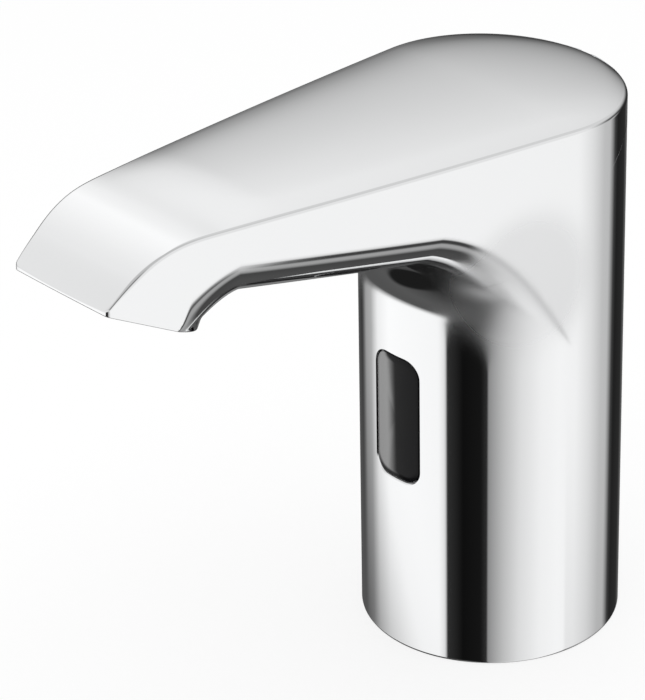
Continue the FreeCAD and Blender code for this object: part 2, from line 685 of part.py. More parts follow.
def valve_body():
    outer = SOCKET_R + SOCKET_WALL
    body = rod(outer, BASE_T, SOCKET_TOP + OVER).fuse(rod(BLOCK_R, SOCKET_TOP, BLOCK_TOP))
    for x, y in valve_screw_places():
        body = body.fuse(rod(LUG_R, BASE_T, BASE_T + SCREW_BITE + FOOT_H, x, y))
    low = OUTLET_PORT_Z - PORT_R - PORT_FLOOR
    body = body.fuse(rod(PIPE_BOSS_R, low, PIPE_BOSS_TOP, 0, PIPE_Y))
    body = body.fuse(block(-PIPE_BOSS_R, PIPE_BOSS_R, BLOCK_R / 2, PIPE_Y, low, PIPE_START_Z + BRIDGE_RISE))
    for x, y in clamp_places():
        body = body.fuse(rod(CLAMP_LUG_R, BLOCK_TOP - CLAMP_LUG_H, BLOCK_TOP, x, y))
    body = body.cut(rod(PIPE_BOSS_R + FIT, PIPE_BOSS_TOP, BLOCK_TOP + OVER, 0, PIPE_Y))
    body = body.cut(rod(SOCKET_R, BASE_T - OVER, SOCKET_TOP))
    body = body.cut(tube(SEAT_R + SEAT_WALL, RING_R, RING_FLOOR, BLOCK_TOP + OVER))
    body = body.cut(rod(RING_R, SEAT_TOP, BLOCK_TOP + OVER))
    body = body.cut(rod(SEAT_R, OUTLET_PORT_Z, BLOCK_TOP))
    for angle in FEED_ANGLES:
        x, y = polar(FEED_PCR, angle)
        body = body.cut(rod(FEED_R, SOCKET_TOP - OVER, RING_FLOOR + OVER, x, y))
    body = body.cut(Part.makeCylinder(PORT_R, PIPE_Y, point(0, 0, OUTLET_PORT_Z), point(0, 1, 0)))
    body = body.cut(rod(PORT_R, OUTLET_PORT_Z, PIPE_START_Z, 0, PIPE_Y))
    body = body.cut(rod(PIPE_R + FIT, PIPE_START_Z - PIPE_STOP, PIPE_BOSS_TOP + OVER, 0, PIPE_Y))
    body = body.cut(rod(PIPE_R + RING_SECTION, ring_z(), PIPE_BOSS_TOP + OVER, 0, PIPE_Y))
    hole_r, bite = SCREW_R + SCREW_FIT, SCREW_BITE + SCREW_END / 2
    for x, y in valve_screw_places():
        body = body.cut(rod(hole_r, BASE_T - OVER, BASE_T + bite, x, y))
    for x, y in clamp_places():
        body = body.cut(rod(hole_r, BLOCK_TOP - bite, BLOCK_TOP + OVER, x, y))
    return body.removeSplitter()


def ring_z():
    """Floor of the rubber ring's seat in the pipe boss."""
    return PIPE_BOSS_TOP - 2 * RING_SECTION - COLLET_LEN


def rubber_ring(inner, outer, z0, z1, x=0.0, y=0.0):
    """Rubber ring with bevelled corners."""
    b = (outer - inner) / 4
    profile = [(inner + b, z0), (outer - b, z0), (outer, z0 + b), (outer, z1 - b)]
    profile += [(outer - b, z1), (inner + b, z1), (inner, z1 - b), (inner, z0 + b)]
    return turned(profile, x, y)


def pipe_ring():
    low = ring_z() + SEAT_GAP
    high = ring_z() + 2 * RING_SECTION
    return rubber_ring(PIPE_R + HAIR, PIPE_R + RING_SECTION - HAIR, low, high, 0, PIPE_Y)


def pipe_collet():
    """Flanged bush that keeps the ring in its seat."""
    inner, outer = PIPE_R + SCREW_FIT, PIPE_R + RING_SECTION - SCREW_FIT
    low = ring_z() + 2 * RING_SECTION + SEAT_GAP
    top = PIPE_BOSS_TOP + COLLET_FLANGE_T
    profile = [(inner, low), (outer, low), (outer, PIPE_BOSS_TOP), (PIPE_BOSS_R, PIPE_BOSS_TOP)]
    return turned(profile + [(PIPE_BOSS_R, top), (inner, top)], 0, PIPE_Y)


def spout_pipe():
    """Bent pipe: up behind the valve, one bend, then forward under the top face."""
    bottom = point(0, PIPE_Y, PIPE_START_Z)
    corner = along_pipe(PIPE_Y)
    turn = math.pi / 2 - math.atan(TOP_SLOPE)
    run_in = PIPE_BEND_R * math.tan(turn / 2)
    first, last = corner - Z_AXIS * run_in, corner + PIPE_HEADING * run_in
    centre = first - point(0, PIPE_BEND_R, 0)
    half = turn / 2
    middle = centre + point(0, math.cos(half), math.sin(half)) * PIPE_BEND_R
    end = along_pipe(CAVITY_END_Y - SOCKET_DEPTH + PIPE_END_STOP)
    edges = [Part.makeLine(bottom, first), Part.Arc(first, middle, last).toShape(), Part.makeLine(last, end)]
    path = Part.Wire(edges)
    outside = Part.Wire(Part.makeCircle(PIPE_R, bottom, Z_AXIS))
    inside = Part.Wire(Part.makeCircle(PIPE_R - PIPE_WALL, bottom, Z_AXIS))
    return path.makePipeShell([outside], True, False).cut(path.makePipeShell([inside], True, False))


def fitting_span():
    """Start and end of the brass sleeve along the spout."""
    end = CAVITY_END_Y - SOCKET_DEPTH + SLEEVE_STOP
    return end + FITTING_LEN, end


def outlet_fitting():
    y0, y1 = fitting_span()
    sleeve = pipe_rod(FITTING_R, y0, y1)
    middle = (y0 + y1) / 2
    groove = pipe_rod(FITTING_R + OVER, middle + RING_SECTION, middle - RING_SECTION)
    groove = groove.cut(pipe_rod(FITTING_R - RING_SECTION + FIT, y0, y1))
    return sleeve.cut(groove).cut(pipe_rod(PIPE_R + SCREW_FIT, y0 + OVER, y1 - OVER))


def outlet_ring():
    y0, y1 = fitting_span()
    middle = (y0 + y1) / 2
    length = 2 * RING_SECTION - 2 * SEAT_GAP
    ring = rubber_ring(FITTING_R - RING_SECTION + FIT + HAIR, FITTING_R + FIT - HAIR, 0, length)
    ring.rotate(point(0, 0, 0), point(1, 0, 0), math.degrees(math.atan2(1, TOP_SLOPE)))
    return ring.translated(along_pipe(middle) - PIPE_HEADING * (length / 2))


def diaphragm():
    """Rubber disc with a thick clamped bead, a thin web and a pad that closes the main seat."""
    bead = DIAPHRAGM_R - BEAD_W
    web = BLOCK_TOP + (BEAD_T - WEB_T) / 2
    pad_r = SEAT_R + SEAT_WALL + PAD_MARGIN
    stub = CORE_STUB_R + SEAT_GAP
    profile = [(stub, SEAT_TOP + SEAT_GAP), (pad_r, SEAT_TOP + SEAT_GAP), (pad_r, web), (bead, web)]
    profile += [(bead, BLOCK_TOP), (DIAPHRAGM_R, BLOCK_TOP), (DIAPHRAGM_R, BLOCK_TOP + BEAD_T)]
    profile += [(bead, BLOCK_TOP + BEAD_T), (bead, web + WEB_T), (stub, web + WEB_T)]
    return turned(profile)


def core_top():
    """Top of the pilot rim at rest."""
    return BLOCK_TOP + BEAD_T + SEAT_GAP + CORE_DISC_T + PILOT_RIM_H


def diaphragm_core():
    """Rigid disc on the diaphragm, with the pilot hole through its middle."""
    under = BLOCK_TOP + (BEAD_T + WEB_T) / 2 + SEAT_GAP
    top = core_top() - PILOT_RIM_H
    low = SEAT_TOP + SEAT_GAP
    profile = [(PILOT_R, low), (CORE_STUB_R, low), (CORE_STUB_R, under), (CORE_DISC_R, under)]
    profile += [(CORE_DISC_R, top), (PILOT_RIM_R + PILOT_RIM_H, top), (PILOT_RIM_R, core_top())]
    return turned(profile + [(PILOT_R, core_top())])


BONNET_Z = BLOCK_TOP + BEAD_T
BONNET_TOP = BONNET_Z + BONNET_T


def valve_bonnet():
    cover = rod(BLOCK_R, BONNET_Z, BONNET_TOP)
    for x, y in clamp_places():
        cover = cover.fuse(rod(CLAMP_LUG_R, BONNET_Z, BONNET_Z + BONNET_LUG_T, x, y))
    cover = cover.cut(rod(BONNET_CHAMBER_R, BONNET_Z - OVER, BONNET_TOP - BONNET_ROOF))
    cover = cover.cut(rod(TUBE_R + FIT, BONNET_Z, BONNET_TOP + OVER))
    for x, y in clamp_places():
        cover = cover.cut(rod(SCREW_R + SCREW_FIT, BONNET_Z - OVER, BONNET_TOP, x, y))
        cover = cover.cut(rod(SCREW_HEAD_R + FIT, BONNET_Z + BONNET_LUG_T, BONNET_TOP + OVER, x, y))
    return cover.removeSplitter()


def plunger_levels():
    """Underside and top of the plunger at rest."""
    low = core_top() + SEAT_GAP + PLUNGER_TIP_T / 2
    return low, low + PLUNGER_LEN


POLE_Z = plunger_levels()[1] + PLUNGER_LIFT + POLE_GAP
YOKE_Z = BONNET_TOP + TUBE_FLANGE_T
BOBBIN_Z = YOKE_Z + YOKE_T + SEAT_GAP
YOKE_TOP = BOBBIN_Z + BOBBIN_H + SEAT_GAP + YOKE_T


def core_tube():
    inner = TUBE_R - TUBE_WALL
    low = BONNET_TOP - BONNET_ROOF
    profile = [(inner, low), (TUBE_R, low), (TUBE_R, BONNET_TOP), (TUBE_FLANGE_R, BONNET_TOP)]
    profile += [(TUBE_FLANGE_R, YOKE_Z), (TUBE_R, YOKE_Z), (TUBE_R, YOKE_TOP), (inner, YOKE_TOP)]
    return turned(profile)


def fixed_core():
    """Pole that closes the armature tube and carries the nut."""
    outer = TUBE_R - TUBE_WALL - HAIR
    top = YOKE_TOP + NUT_H + STUB_RISE
    profile = [(0, POLE_Z), (outer, POLE_Z), (outer, YOKE_TOP), (STUB_R, YOKE_TOP)]
    return turned(profile + [(STUB_R, top), (0, top)])


def plunger():
    low, top = plunger_levels()
    body = rod(TUBE_R - TUBE_WALL - RUN, low, top)
    body = body.cut(rod(SPRING_R + SPRING_WIRE, top - SPRING_POCKET_DEPTH, top + OVER))
    return body.cut(rod(PLUNGER_TIP_R + SCREW_FIT, low - OVER, low + PLUNGER_TIP_T / 2))


def plunger_tip():
    low = plunger_levels()[0]
    return rod(PLUNGER_TIP_R, low - PLUNGER_TIP_T / 2, low + PLUNGER_TIP_T / 2)


def plunger_spring():
    low, top = plunger_levels()
    foot = top - SPRING_POCKET_DEPTH + SEAT_GAP
    return spring(SPRING_R, SPRING_WIRE, foot, POLE_Z - SEAT_GAP, PLUNGER_TURNS)


def is_bend(p):
    """On one of the yoke's four outer corners."""
    return abs(abs(p.x) - YOKE_HALF_X) < NEAR and min(abs(p.z - YOKE_Z), abs(p.z - YOKE_TOP)) < NEAR


def coil_yoke():
    """Steel frame round the coil, bent from strip."""
    half = YOKE_WIDTH / 2
    frame = block(-YOKE_HALF_X, YOKE_HALF_X, -half, half, YOKE_Z, YOKE_TOP)
    inside = YOKE_HALF_X - YOKE_T
    frame = frame.cut(block(-inside, inside, -TALL, TALL, YOKE_Z + YOKE_T, YOKE_TOP - YOKE_T))
    frame = frame.makeFillet(YOKE_BEND_R, edges_on(frame, is_bend))
    return frame.cut(rod(TUBE_R + FIT, YOKE_Z - OVER, YOKE_TOP + OVER))


def coil_bobbin():
    inner = TUBE_R + FIT
    barrel = inner + BOBBIN_TUBE_WALL
    top = BOBBIN_Z + BOBBIN_H
    profile = [(inner, BOBBIN_Z), (BOBBIN_R, BOBBIN_Z), (BOBBIN_R, BOBBIN_Z + BOBBIN_FLANGE_T)]
    profile += [(barrel, BOBBIN_Z + BOBBIN_FLANGE_T), (barrel, top - BOBBIN_FLANGE_T)]
    profile += [(BOBBIN_R, top - BOBBIN_FLANGE_T), (BOBBIN_R, top), (inner, top)]
    return turned(profile)


def coil_winding():
    inner = TUBE_R + FIT + BOBBIN_TUBE_WALL + SEAT_GAP
    low = BOBBIN_Z + BOBBIN_FLANGE_T + SEAT_GAP
    return tube(inner, WINDING_R, low, BOBBIN_Z + BOBBIN_H - BOBBIN_FLANGE_T - SEAT_GAP)


def coil_nut():
    nut = prism(hexagon(NUT_FLATS / math.sqrt(3), YOKE_TOP), Z_AXIS * NUT_H)
    return nut.cut(rod(STUB_R + SCREW_FIT, YOKE_TOP - OVER, YOKE_TOP + NUT_H + OVER))


def coil_terminals():
    """Two blades on the bobbin's upper flange, in front of the yoke."""
    top = BOBBIN_Z + BOBBIN_H
    y0 = -(YOKE_WIDTH / 2 + BLADE_GAP + BLADE_T)
    blades = []
    for side in (-1, 1):
        x = side * BLADE_W
        blades.append(block(x - BLADE_W / 2, x + BLADE_W / 2, y0, y0 + BLADE_T, top, top + BLADE_H))
    return Part.makeCompound(blades)


def inside_wall(shape, radius):
    return shape.common(rod(radius, -OVER, TALL))


def sensor_window():
    """Lens: its face fills the opening and its flange bears on the gasket behind the wall."""
    seat_r = COLUMN_R - WALL - GASKET_T
    face = window_panel(0).common(tube(seat_r - FLANGE_T / 2, COLUMN_R - WINDOW_INSET, 0, TALL))
    flange = window_panel(FLANGE_MARGIN).common(tube(seat_r - FLANGE_T, seat_r, 0, TALL))
    return face.fuse(flange).removeSplitter()


def window_gasket():
    inner_r = COLUMN_R - WALL
    frame = window_panel(FLANGE_MARGIN).cut(window_panel(FIT))
    return frame.common(tube(inner_r - GASKET_T + HAIR, inner_r - HAIR, 0, TALL))


def housing_front_r():
    return COLUMN_R - WALL - GASKET_T - FLANGE_T - SEAT_GAP


def housing_half():
    return WINDOW_W / 2 + FLANGE_MARGIN, WINDOW_H / 2 + FLANGE_MARGIN


def sensor_housing():
    """Open-fronted box whose rim follows the lens, with two ears and a wall between the two eyes."""
    half_w, half_h = housing_half()
    z0, z1 = WINDOW_Z - half_h, WINDOW_Z + half_h
    box = block(-half_w, half_w, -COLUMN_R, HOUSING_BACK_Y, z0, z1)
    w = HOUSING_WALL
    room = block(-half_w + w, half_w - w, -COLUMN_R, HOUSING_BACK_Y - w, z0 + w, z1 - w)
    board_y = HOUSING_BACK_Y - w - BOARD_T - FIT
    half_t = DIVIDER_T / 2
    divider = block(-half_w + w, half_w - w, -COLUMN_R, board_y, WINDOW_Z - half_t, WINDOW_Z + half_t)
    box = inside_wall(box.cut(room).fuse(divider), housing_front_r())
    ear_y = sensor_screw_y()
    for side in (-1, 1):
        x0, x1 = sorted((side * (half_w - 2 * FIT), side * (EAR_X + SMALL_HEAD_R)))
        ear = block(x0, x1, ear_y, ear_y + EAR_T, WINDOW_Z - EAR_H / 2, WINDOW_Z + EAR_H / 2)
        ear = ear.cut(ear_rod(side, SMALL_SCREW_R + SCREW_FIT, ear_y - OVER, ear_y + EAR_T + OVER))
        box = box.fuse(inside_wall(ear, COLUMN_R - WALL - FIT))
    return box.removeSplitter()


def sensor_screws():
    ear_y = sensor_screw_y()
    shape = screw(SMALL_SCREW_R, SMALL_HEAD_R, SMALL_HEAD_H, EAR_T + SENSOR_SCREW_BITE)
    shape.rotate(point(0, 0, 0), point(1, 0, 0), -90)
    places = [shape.translated(point(side * EAR_X, ear_y + EAR_T, WINDOW_Z)) for side in (-1, 1)]
    return Part.makeCompound(places)


def board_front_y():
    return HOUSING_BACK_Y - HOUSING_WALL - SEAT_GAP - BOARD_T


def sensor_board():
    half_w, half_h = housing_half()
    inset = HOUSING_WALL + FIT
    y0 = board_front_y()
    z0, z1 = WINDOW_Z - half_h + inset, WINDOW_Z + half_h - inset
    return block(-half_w + inset, half_w - inset, y0, y0 + BOARD_T, z0, z1)


def eye(radius, length, x, z):
    """Round diode with a domed front, standing on the board and looking out of the window."""
    body = Part.makeCylinder(radius, length - radius / 2, point(x, board_front_y(), z), point(0, -1, 0))
    dome_r = radius * DOME_RATIO
    centre = point(x, board_front_y() - length + dome_r, z)
    dome = Part.makeSphere(dome_r, centre)
    keep = Part.makeCylinder(radius, length + OVER, point(x, board_front_y(), z), point(0, -1, 0))
    return body.fuse(dome.common(keep)).removeSplitter().common(keep)


def eye_length():
    return housing_front_r() - EYE_GAP + board_front_y()


def ir_emitter():
    return eye(EMITTER_R, eye_length(), 0, WINDOW_Z + EMITTER_RISE)


def ir_receiver():
    return eye(RECEIVER_R, eye_length(), 0, WINDOW_Z - RECEIVER_DROP)


def status_led():
    y0 = board_front_y()
    z = WINDOW_Z + LED_RISE
    return block(LED_X - LED_W / 2, LED_X + LED_W / 2, y0 - LED_T, y0, z - LED_H / 2, z + LED_H / 2)


def control_chip():
    y0 = board_front_y()
    z0 = WINDOW_Z - WINDOW_H / 2 + CHIP_MARGIN
    return block(-CHIP_W / 2, CHIP_W / 2, y0 - CHIP_T, y0, z0, z0 + CHIP_H)


def aerator_shell():
    """Screw-in cup with four key slots in its rim."""
    outer = AERATOR_R - FIT
    top = AERATOR_DEPTH - AERATOR_SEAL_T - SEAT_GAP
    inner = outer - AERATOR_WALL
    throat = CHAMBER_R - LIMITER_SEAT
    profile = [(inner, AERATOR_INSET), (outer, AERATOR_INSET), (outer, top), (throat, top)]
    cup = turned(profile + [(throat, top - LIMITER_T), (inner, top - LIMITER_T)])
    cup = cup.cut(block(-TALL, TALL, -KEY_W / 2, KEY_W / 2, -OVER, KEY_DEPTH))
    return at_outlet(cup.cut(block(-KEY_W / 2, KEY_W / 2, -TALL, TALL, -OVER, KEY_DEPTH)))


def aerator_seal():
    z0 = AERATOR_DEPTH - AERATOR_SEAL_T
    return at_outlet(tube(CHAMBER_R, AERATOR_R - 2 * FIT, z0, AERATOR_DEPTH - SEAT_GAP))


def aerator_inner_r():
    return AERATOR_R - 2 * FIT - AERATOR_WALL


def aerator_grid():
    """Disc pierced by square cells, inside a plain rim."""
    top = GRID_INSET + GRID_T
    disc = rod(aerator_inner_r(), GRID_INSET, top)
    cell = (GRID_PITCH - GRID_WEB) / 2
    places = [k * GRID_PITCH for k in range(-GRID_REACH, GRID_REACH + 1)]
    cells = [block(x - cell, x + cell, y - cell, y + cell, 0, top + OVER) for x in places for y in places]
    holes = Part.makeCompound(cells).common(rod(aerator_inner_r() - GRID_WEB, 0, AERATOR_DEPTH))
    return at_outlet(disc.cut(holes))


def aerator_screen():
    """Thin disc with radial slots."""
    z0 = GRID_INSET + GRID_T + SEAT_GAP
    disc = rod(aerator_inner_r(), z0, z0 + SCREEN_T)
    half, reach = SCREEN_SLOT_W / 2, aerator_inner_r() - SCREEN_RIM_W
    for k in range(SCREEN_SLOTS):
        slot = block(SCREEN_HUB_R, reach, -half, half, z0 - OVER, z0 + SCREEN_T + OVER)
        slot.rotate(point(0, 0, 0), Z_AXIS, 360 / SCREEN_SLOTS * k)
        disc = disc.cut(slot)
    return at_outlet(disc)


def flow_limiter():
    """Disc in the cup's throat that holds the flow to a few holes."""
    top = AERATOR_DEPTH - AERATOR_SEAL_T - SEAT_GAP
    disc = rod(CHAMBER_R - LIMITER_SEAT - FIT, top - LIMITER_T, top)
    for k in range(LIMITER_HOLES):
        x, y = polar(CHAMBER_R / 2, 360 / LIMITER_HOLES * k)
        disc = disc.cut(rod(LIMITER_HOLE_R, 0, AERATOR_DEPTH, x, y))
    return at_outlet(disc)


def base_screws():
    return group(countersunk(BASE_T + SCREW_BITE), base_screw_places(), 0)


def valve_screws():
    return group(countersunk(BASE_T + SCREW_BITE), valve_screw_places(), 0)


def bonnet_screws():
    shape = screw(SCREW_R, BONNET_HEAD_R, SCREW_HEAD_H, BONNET_LUG_T + BEAD_T + SCREW_BITE)
    return group(shape, clamp_places(), BONNET_Z + BONNET_LUG_T)


def inlet_washer():
    return tube(COLLAR_BORE_R, COLLAR_R, WASHER_Z, FILTER_Z)


PIECES = [
    tap_body, base_plate, base_seal, base_screws, cable_grommet, inlet_washer, inlet_strainer,
    check_housing, check_poppet, check_seal, check_spring, valve_body, valve_screws, diaphragm,
    diaphragm_core, valve_bonnet, bonnet_screws, core_tube, fixed_core, plunger, plunger_tip,
    plunger_spring, coil_yoke, coil_bobbin, coil_winding, coil_nut, coil_terminals, spout_pipe,
    pipe_ring, pipe_collet, outlet_fitting, outlet_ring, aerator_shell, aerator_seal, aerator_grid,
    aerator_screen, flow_limiter, sensor_window, window_gasket, sensor_housing, sensor_screws,
    sensor_board, ir_emitter, ir_receiver, status_led, control_chip,
]

os.makedirs("parts", exist_ok=True)
for make in PIECES:
    shape = make()
    shape.exportStep(os.path.join("parts", make.__name__ + ".step"))
    state = "valid" if shape.isValid() else "NOT VALID"
    print(make.__name__, len(shape.Solids), state, round(shape.Volume, 1))
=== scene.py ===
import json
import logging
import math
from collections.abc import Callable
from dataclasses import dataclass
from enum import Enum
from typing import ClassVar

import bmesh
import bpy
import numpy as np
from mathutils import Matrix, Vector


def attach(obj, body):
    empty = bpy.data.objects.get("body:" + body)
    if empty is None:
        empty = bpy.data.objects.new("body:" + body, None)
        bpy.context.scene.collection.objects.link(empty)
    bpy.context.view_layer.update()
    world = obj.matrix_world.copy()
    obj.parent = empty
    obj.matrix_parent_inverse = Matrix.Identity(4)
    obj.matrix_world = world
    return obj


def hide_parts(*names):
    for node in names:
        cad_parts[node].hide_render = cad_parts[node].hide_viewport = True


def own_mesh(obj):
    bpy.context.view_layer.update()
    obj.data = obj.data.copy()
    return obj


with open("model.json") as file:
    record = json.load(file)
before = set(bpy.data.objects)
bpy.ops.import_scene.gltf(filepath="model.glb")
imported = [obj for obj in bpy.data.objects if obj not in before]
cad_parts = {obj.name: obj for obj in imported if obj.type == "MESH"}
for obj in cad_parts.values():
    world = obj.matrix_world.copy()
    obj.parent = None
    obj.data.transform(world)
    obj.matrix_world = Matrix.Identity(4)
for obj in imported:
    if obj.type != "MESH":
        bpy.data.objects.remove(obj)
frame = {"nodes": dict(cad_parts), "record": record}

logging.basicConfig(level=logging.INFO, format="%(levelname)s %(message)s")
log = logging.getLogger("sensor_tap")

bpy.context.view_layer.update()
MM = 0.001

Stops = tuple[tuple[float, float], ...]
Value = bpy.types.NodeSocket | float
Inputs = dict[str | int, object]


# ---------------------------------------------------------------- form of the casting


@dataclass(frozen=True)
class CastingForm:
    """Driving sizes of the chrome casting, in metres and radians, in the row frame."""

    column_r: float = 25.0 * MM
    wall: float = 2.8 * MM
    foot_r: float = 0.6 * MM
    crease_r: float = 0.8 * MM
    lip_crease_r: float = 0.4 * MM
    crease_fade: float = 5.0 * MM
    nose_edge_r: float = 0.15 * MM
    rim_r: float = 0.3 * MM
    crown: float = math.radians(5.0)
    crown_start: float = -86.0 * MM
    crown_run: float = 20.0 * MM
    top_z: float = 110.2 * MM
    top_slope: float = 0.054
    side_start: float = math.radians(5.2)
    tip_half: float = 14.1 * MM
    tip_y: float = -92.0 * MM
    reach: float = 103.1 * MM
    lip_bulge: float = 0.24 * MM
    lip_corner: float = 1.2 * MM
    curl_y: float = -84.0 * MM
    curl_r: float = 21.0 * MM
    curl_end: float = math.radians(39.0)
    curl_ease: float = 4.0 * MM
    under_z: float = 89.6 * MM
    under_slope: float = 0.195
    throat_r: float = 19.0 * MM
    lower_r: float = 8.0 * MM
    outlet_y: float = -90.2 * MM
    outlet_z: float = 98.6 * MM
    outlet_tilt: float = math.radians(27.6)
    neck_r: float = 14.2 * MM
    neck_fill: float = 6.0 * MM
    neck_fade: float = 4.0 * MM
    bore_r: float = 11.0 * MM
    bore_depth: float = 6.2 * MM
    chamber_r: float = 8.0 * MM
    chamber_depth: float = 9.2 * MM
    cavity_end_y: float = -66.0 * MM


@dataclass(frozen=True)
class WindowForm:
    """Sizes of the sensor window's opening and of the lens in it, in metres."""

    half_width: float = 5.6 * MM
    half_height: float = 13.1 * MM
    centre_z: float = 49.8 * MM
    corner_r: float = 3.3 * MM
    gap: float = 0.1 * MM
    bevel: float = 0.22 * MM
    inset: float = 0.15 * MM
    depth: float = 3.4 * MM
    soft: float = 0.25 * MM


@dataclass
class Field:
    """Signed distance at a set of points, negative in the metal, and its gradient."""

    value: np.ndarray
    slope: np.ndarray

    def flipped(self) -> "Field":
        """The same surface seen from its other side."""
        return Field(-self.value, -self.slope)


def rounded(a: Field, b: Field, radius: float | np.ndarray) -> Field:
    """What two bodies have in common, with its edge rounded.

    With p = a + r, q = b + r and c the cosine between the two normals, the distance near the edge is
    sqrt((p^2 + q^2 - 2 c p q) / (1 - c^2)) - r, which is the distance to the line where a = b = -r.

    Args:
        a: the first body.
        b: the second body.
        radius: radius of the edge, one value or one for each point.

    Returns:
        The rounded body's field.
    """
    cosine = np.clip(np.einsum("ij,ij->i", a.slope, b.slope), -0.9995, 0.9995)
    p, q = a.value + radius, b.value + radius
    curved = (p > cosine * q) & (q > cosine * p)
    sine2 = 1 - cosine**2
    span = np.sqrt(np.maximum(p * p + q * q - 2 * cosine * p * q, 1e-18) / sine2)
    value = np.where(curved, span - radius, np.maximum(a.value, b.value))
    outer = (a.value > b.value).astype(float)
    share_a = np.where(curved, (p - cosine * q) / (sine2 * span), outer)
    share_b = np.where(curved, (q - cosine * p) / (sine2 * span), 1 - outer)
    return Field(value, share_a[:, None] * a.slope + share_b[:, None] * b.slope)


def filled(a: Field, b: Field, radius: float) -> Field:
    """Two bodies joined, with a hollow fillet of that radius between them."""
    return rounded(a.flipped(), b.flipped(), radius).flipped()


def smooth_step(value: np.ndarray | float) -> np.ndarray | float:
    """3 t^2 - 2 t^3 with t held between 0 and 1."""
    t = np.clip(value, 0, 1)
    return t * t * (3 - 2 * t)


class Casting:
    """The casting's outside as formulas: its plan, its profile and its distance field."""

    CROWN_SQUARE = 0.6
    CROWN_SIXTH = 0.4
    EDGE_SHARE = 2 * CROWN_SQUARE + 6 * CROWN_SIXTH

    def __init__(self, form: CastingForm) -> None:
        self.form = form
        self.start = form.column_r * np.array([math.cos(form.side_start), -math.sin(form.side_start)])
        chord = np.array([form.tip_half, form.tip_y]) - self.start
        inward = -self.start / form.column_r
        self.side_r = float(chord @ chord / (2 * inward @ chord))
        self.side_centre = self.start + inward * self.side_r
        tilt = form.outlet_tilt
        self.outlet = np.array([0.0, form.outlet_y, form.outlet_z])
        self.outlet_out = np.array([0.0, -math.sin(tilt), -math.cos(tilt)])
        self.outlet_ahead = np.array([0.0, -math.cos(tilt), math.sin(tilt)])
        lean = math.atan(form.top_slope)
        z = form.top_z - form.top_slope * form.curl_y
        upward = np.array([math.sin(lean), math.cos(lean)])
        self.curl_centre = np.array([form.curl_y, z]) - form.curl_r * upward
        self.ease = np.linspace(-1, 1, 15) * form.curl_ease
        end = form.curl_end
        self.curl_finish = self.curl_centre + form.curl_r * np.array([-math.sin(end), math.cos(end)])

    def top(self, y: np.ndarray) -> np.ndarray:
        """Height of the top face: a gentle slope, an arc, then a straight run down to the lip.

        Each height is the mean of the sharp profile a little way to both sides, so the bend comes on softly.
        """
        form, y = self.form, np.asarray(y, float)[..., None] + self.ease
        flat = form.top_z - form.top_slope * y
        across = np.clip(y - self.curl_centre[0], -form.curl_r, form.curl_r)
        arc = self.curl_centre[1] + np.sqrt(form.curl_r**2 - across**2)
        run = self.curl_finish[1] + (y - self.curl_finish[0]) * math.tan(form.curl_end)
        return np.where(y > form.curl_y, flat, np.where(y > self.curl_finish[0], arc, run)).mean(axis=-1)

    def top_normal(self, y: np.ndarray) -> np.ndarray:
        """Unit normal of the top face at y, along its middle."""
        form, y = self.form, np.asarray(y, float)[..., None] + self.ease
        bend = np.arcsin(np.clip((self.curl_centre[0] - y) / form.curl_r, -1, 1))
        lean = np.where(y > self.curl_finish[0], bend, form.curl_end)
        slope = np.tan(np.where(y > form.curl_y, -math.atan(form.top_slope), lean)).mean(axis=-1)
        normal = np.stack([np.zeros_like(slope), -slope, np.ones_like(slope)], axis=-1)
        return normal / np.linalg.norm(normal, axis=-1, keepdims=True)

    def crown_rise(self, across: np.ndarray) -> np.ndarray:
        """Share of the crown's height that is left at a share of the half width."""
        return 1 - self.CROWN_SQUARE * across**2 - self.CROWN_SIXTH * across**6

    def crown_slope(self, y: np.ndarray) -> np.ndarray:
        """Mean slope across the top face's half: a slight crown that fades before the nose."""
        form = self.form
        return math.tan(form.crown) / 2 * smooth_step((y - form.crown_start) / form.crown_run)

    def edge_normal(self, y: np.ndarray) -> np.ndarray:
        """Unit normal of the crowned top face at its +X edge, which leans towards the wall's normal."""
        lean = self.EDGE_SHARE * self.crown_slope(y)[..., None]
        tilted = self.top_normal(y) + lean * self.wall_normal(y)
        return tilted / np.linalg.norm(tilted, axis=-1, keepdims=True)

    def half_width(self, y: np.ndarray) -> np.ndarray:
        """Half width of the plan: the column's circle, then the long side arc."""
        circle = np.sqrt(np.maximum(self.form.column_r**2 - y**2, 0))
        arc = self.side_centre[0] + np.sqrt(self.side_r**2 - (y - self.side_centre[1]) ** 2)
        return np.where(y > self.start[1], circle, arc)

    def wall_normal(self, y: np.ndarray) -> np.ndarray:
        """Unit normal of the +X side wall at y."""
        edge = np.stack([self.half_width(y), y], axis=-1)
        circle = edge / self.form.column_r
        arc = (edge - self.side_centre) / self.side_r
        flat = np.where((y > self.start[1])[..., None], circle, arc)
        return np.concatenate([flat, np.zeros_like(flat[..., :1])], axis=-1)

    def column(self, p: np.ndarray) -> Field:
        """Upright cylinder of the column."""
        far = np.maximum(np.hypot(p[:, 0], p[:, 1]), 1e-9)
        slope = np.zeros_like(p)
        slope[:, :2] = p[:, :2] / far[:, None]
        return Field(far - self.form.column_r, slope)

    def walls(self, p: np.ndarray) -> Field:
        """Side walls: the column's circle at the back, and a long arc on each side of the spout."""
        form, x = self.form, np.abs(p[:, 0])
        ahead = p[:, 1] * math.cos(form.side_start) + x * math.sin(form.side_start) < 0
        offset = np.stack([x, p[:, 1]], axis=-1) - self.side_centre
        far = np.hypot(offset[:, 0], offset[:, 1])
        slope = np.zeros_like(p)
        slope[:, 0] = np.where(p[:, 0] < 0, -1, 1) * offset[:, 0] / far
        slope[:, 1] = offset[:, 1] / far
        back = self.column(p)
        value = np.where(ahead, far - self.side_r, back.value)
        return Field(value, np.where(ahead[:, None], slope, back.slope))

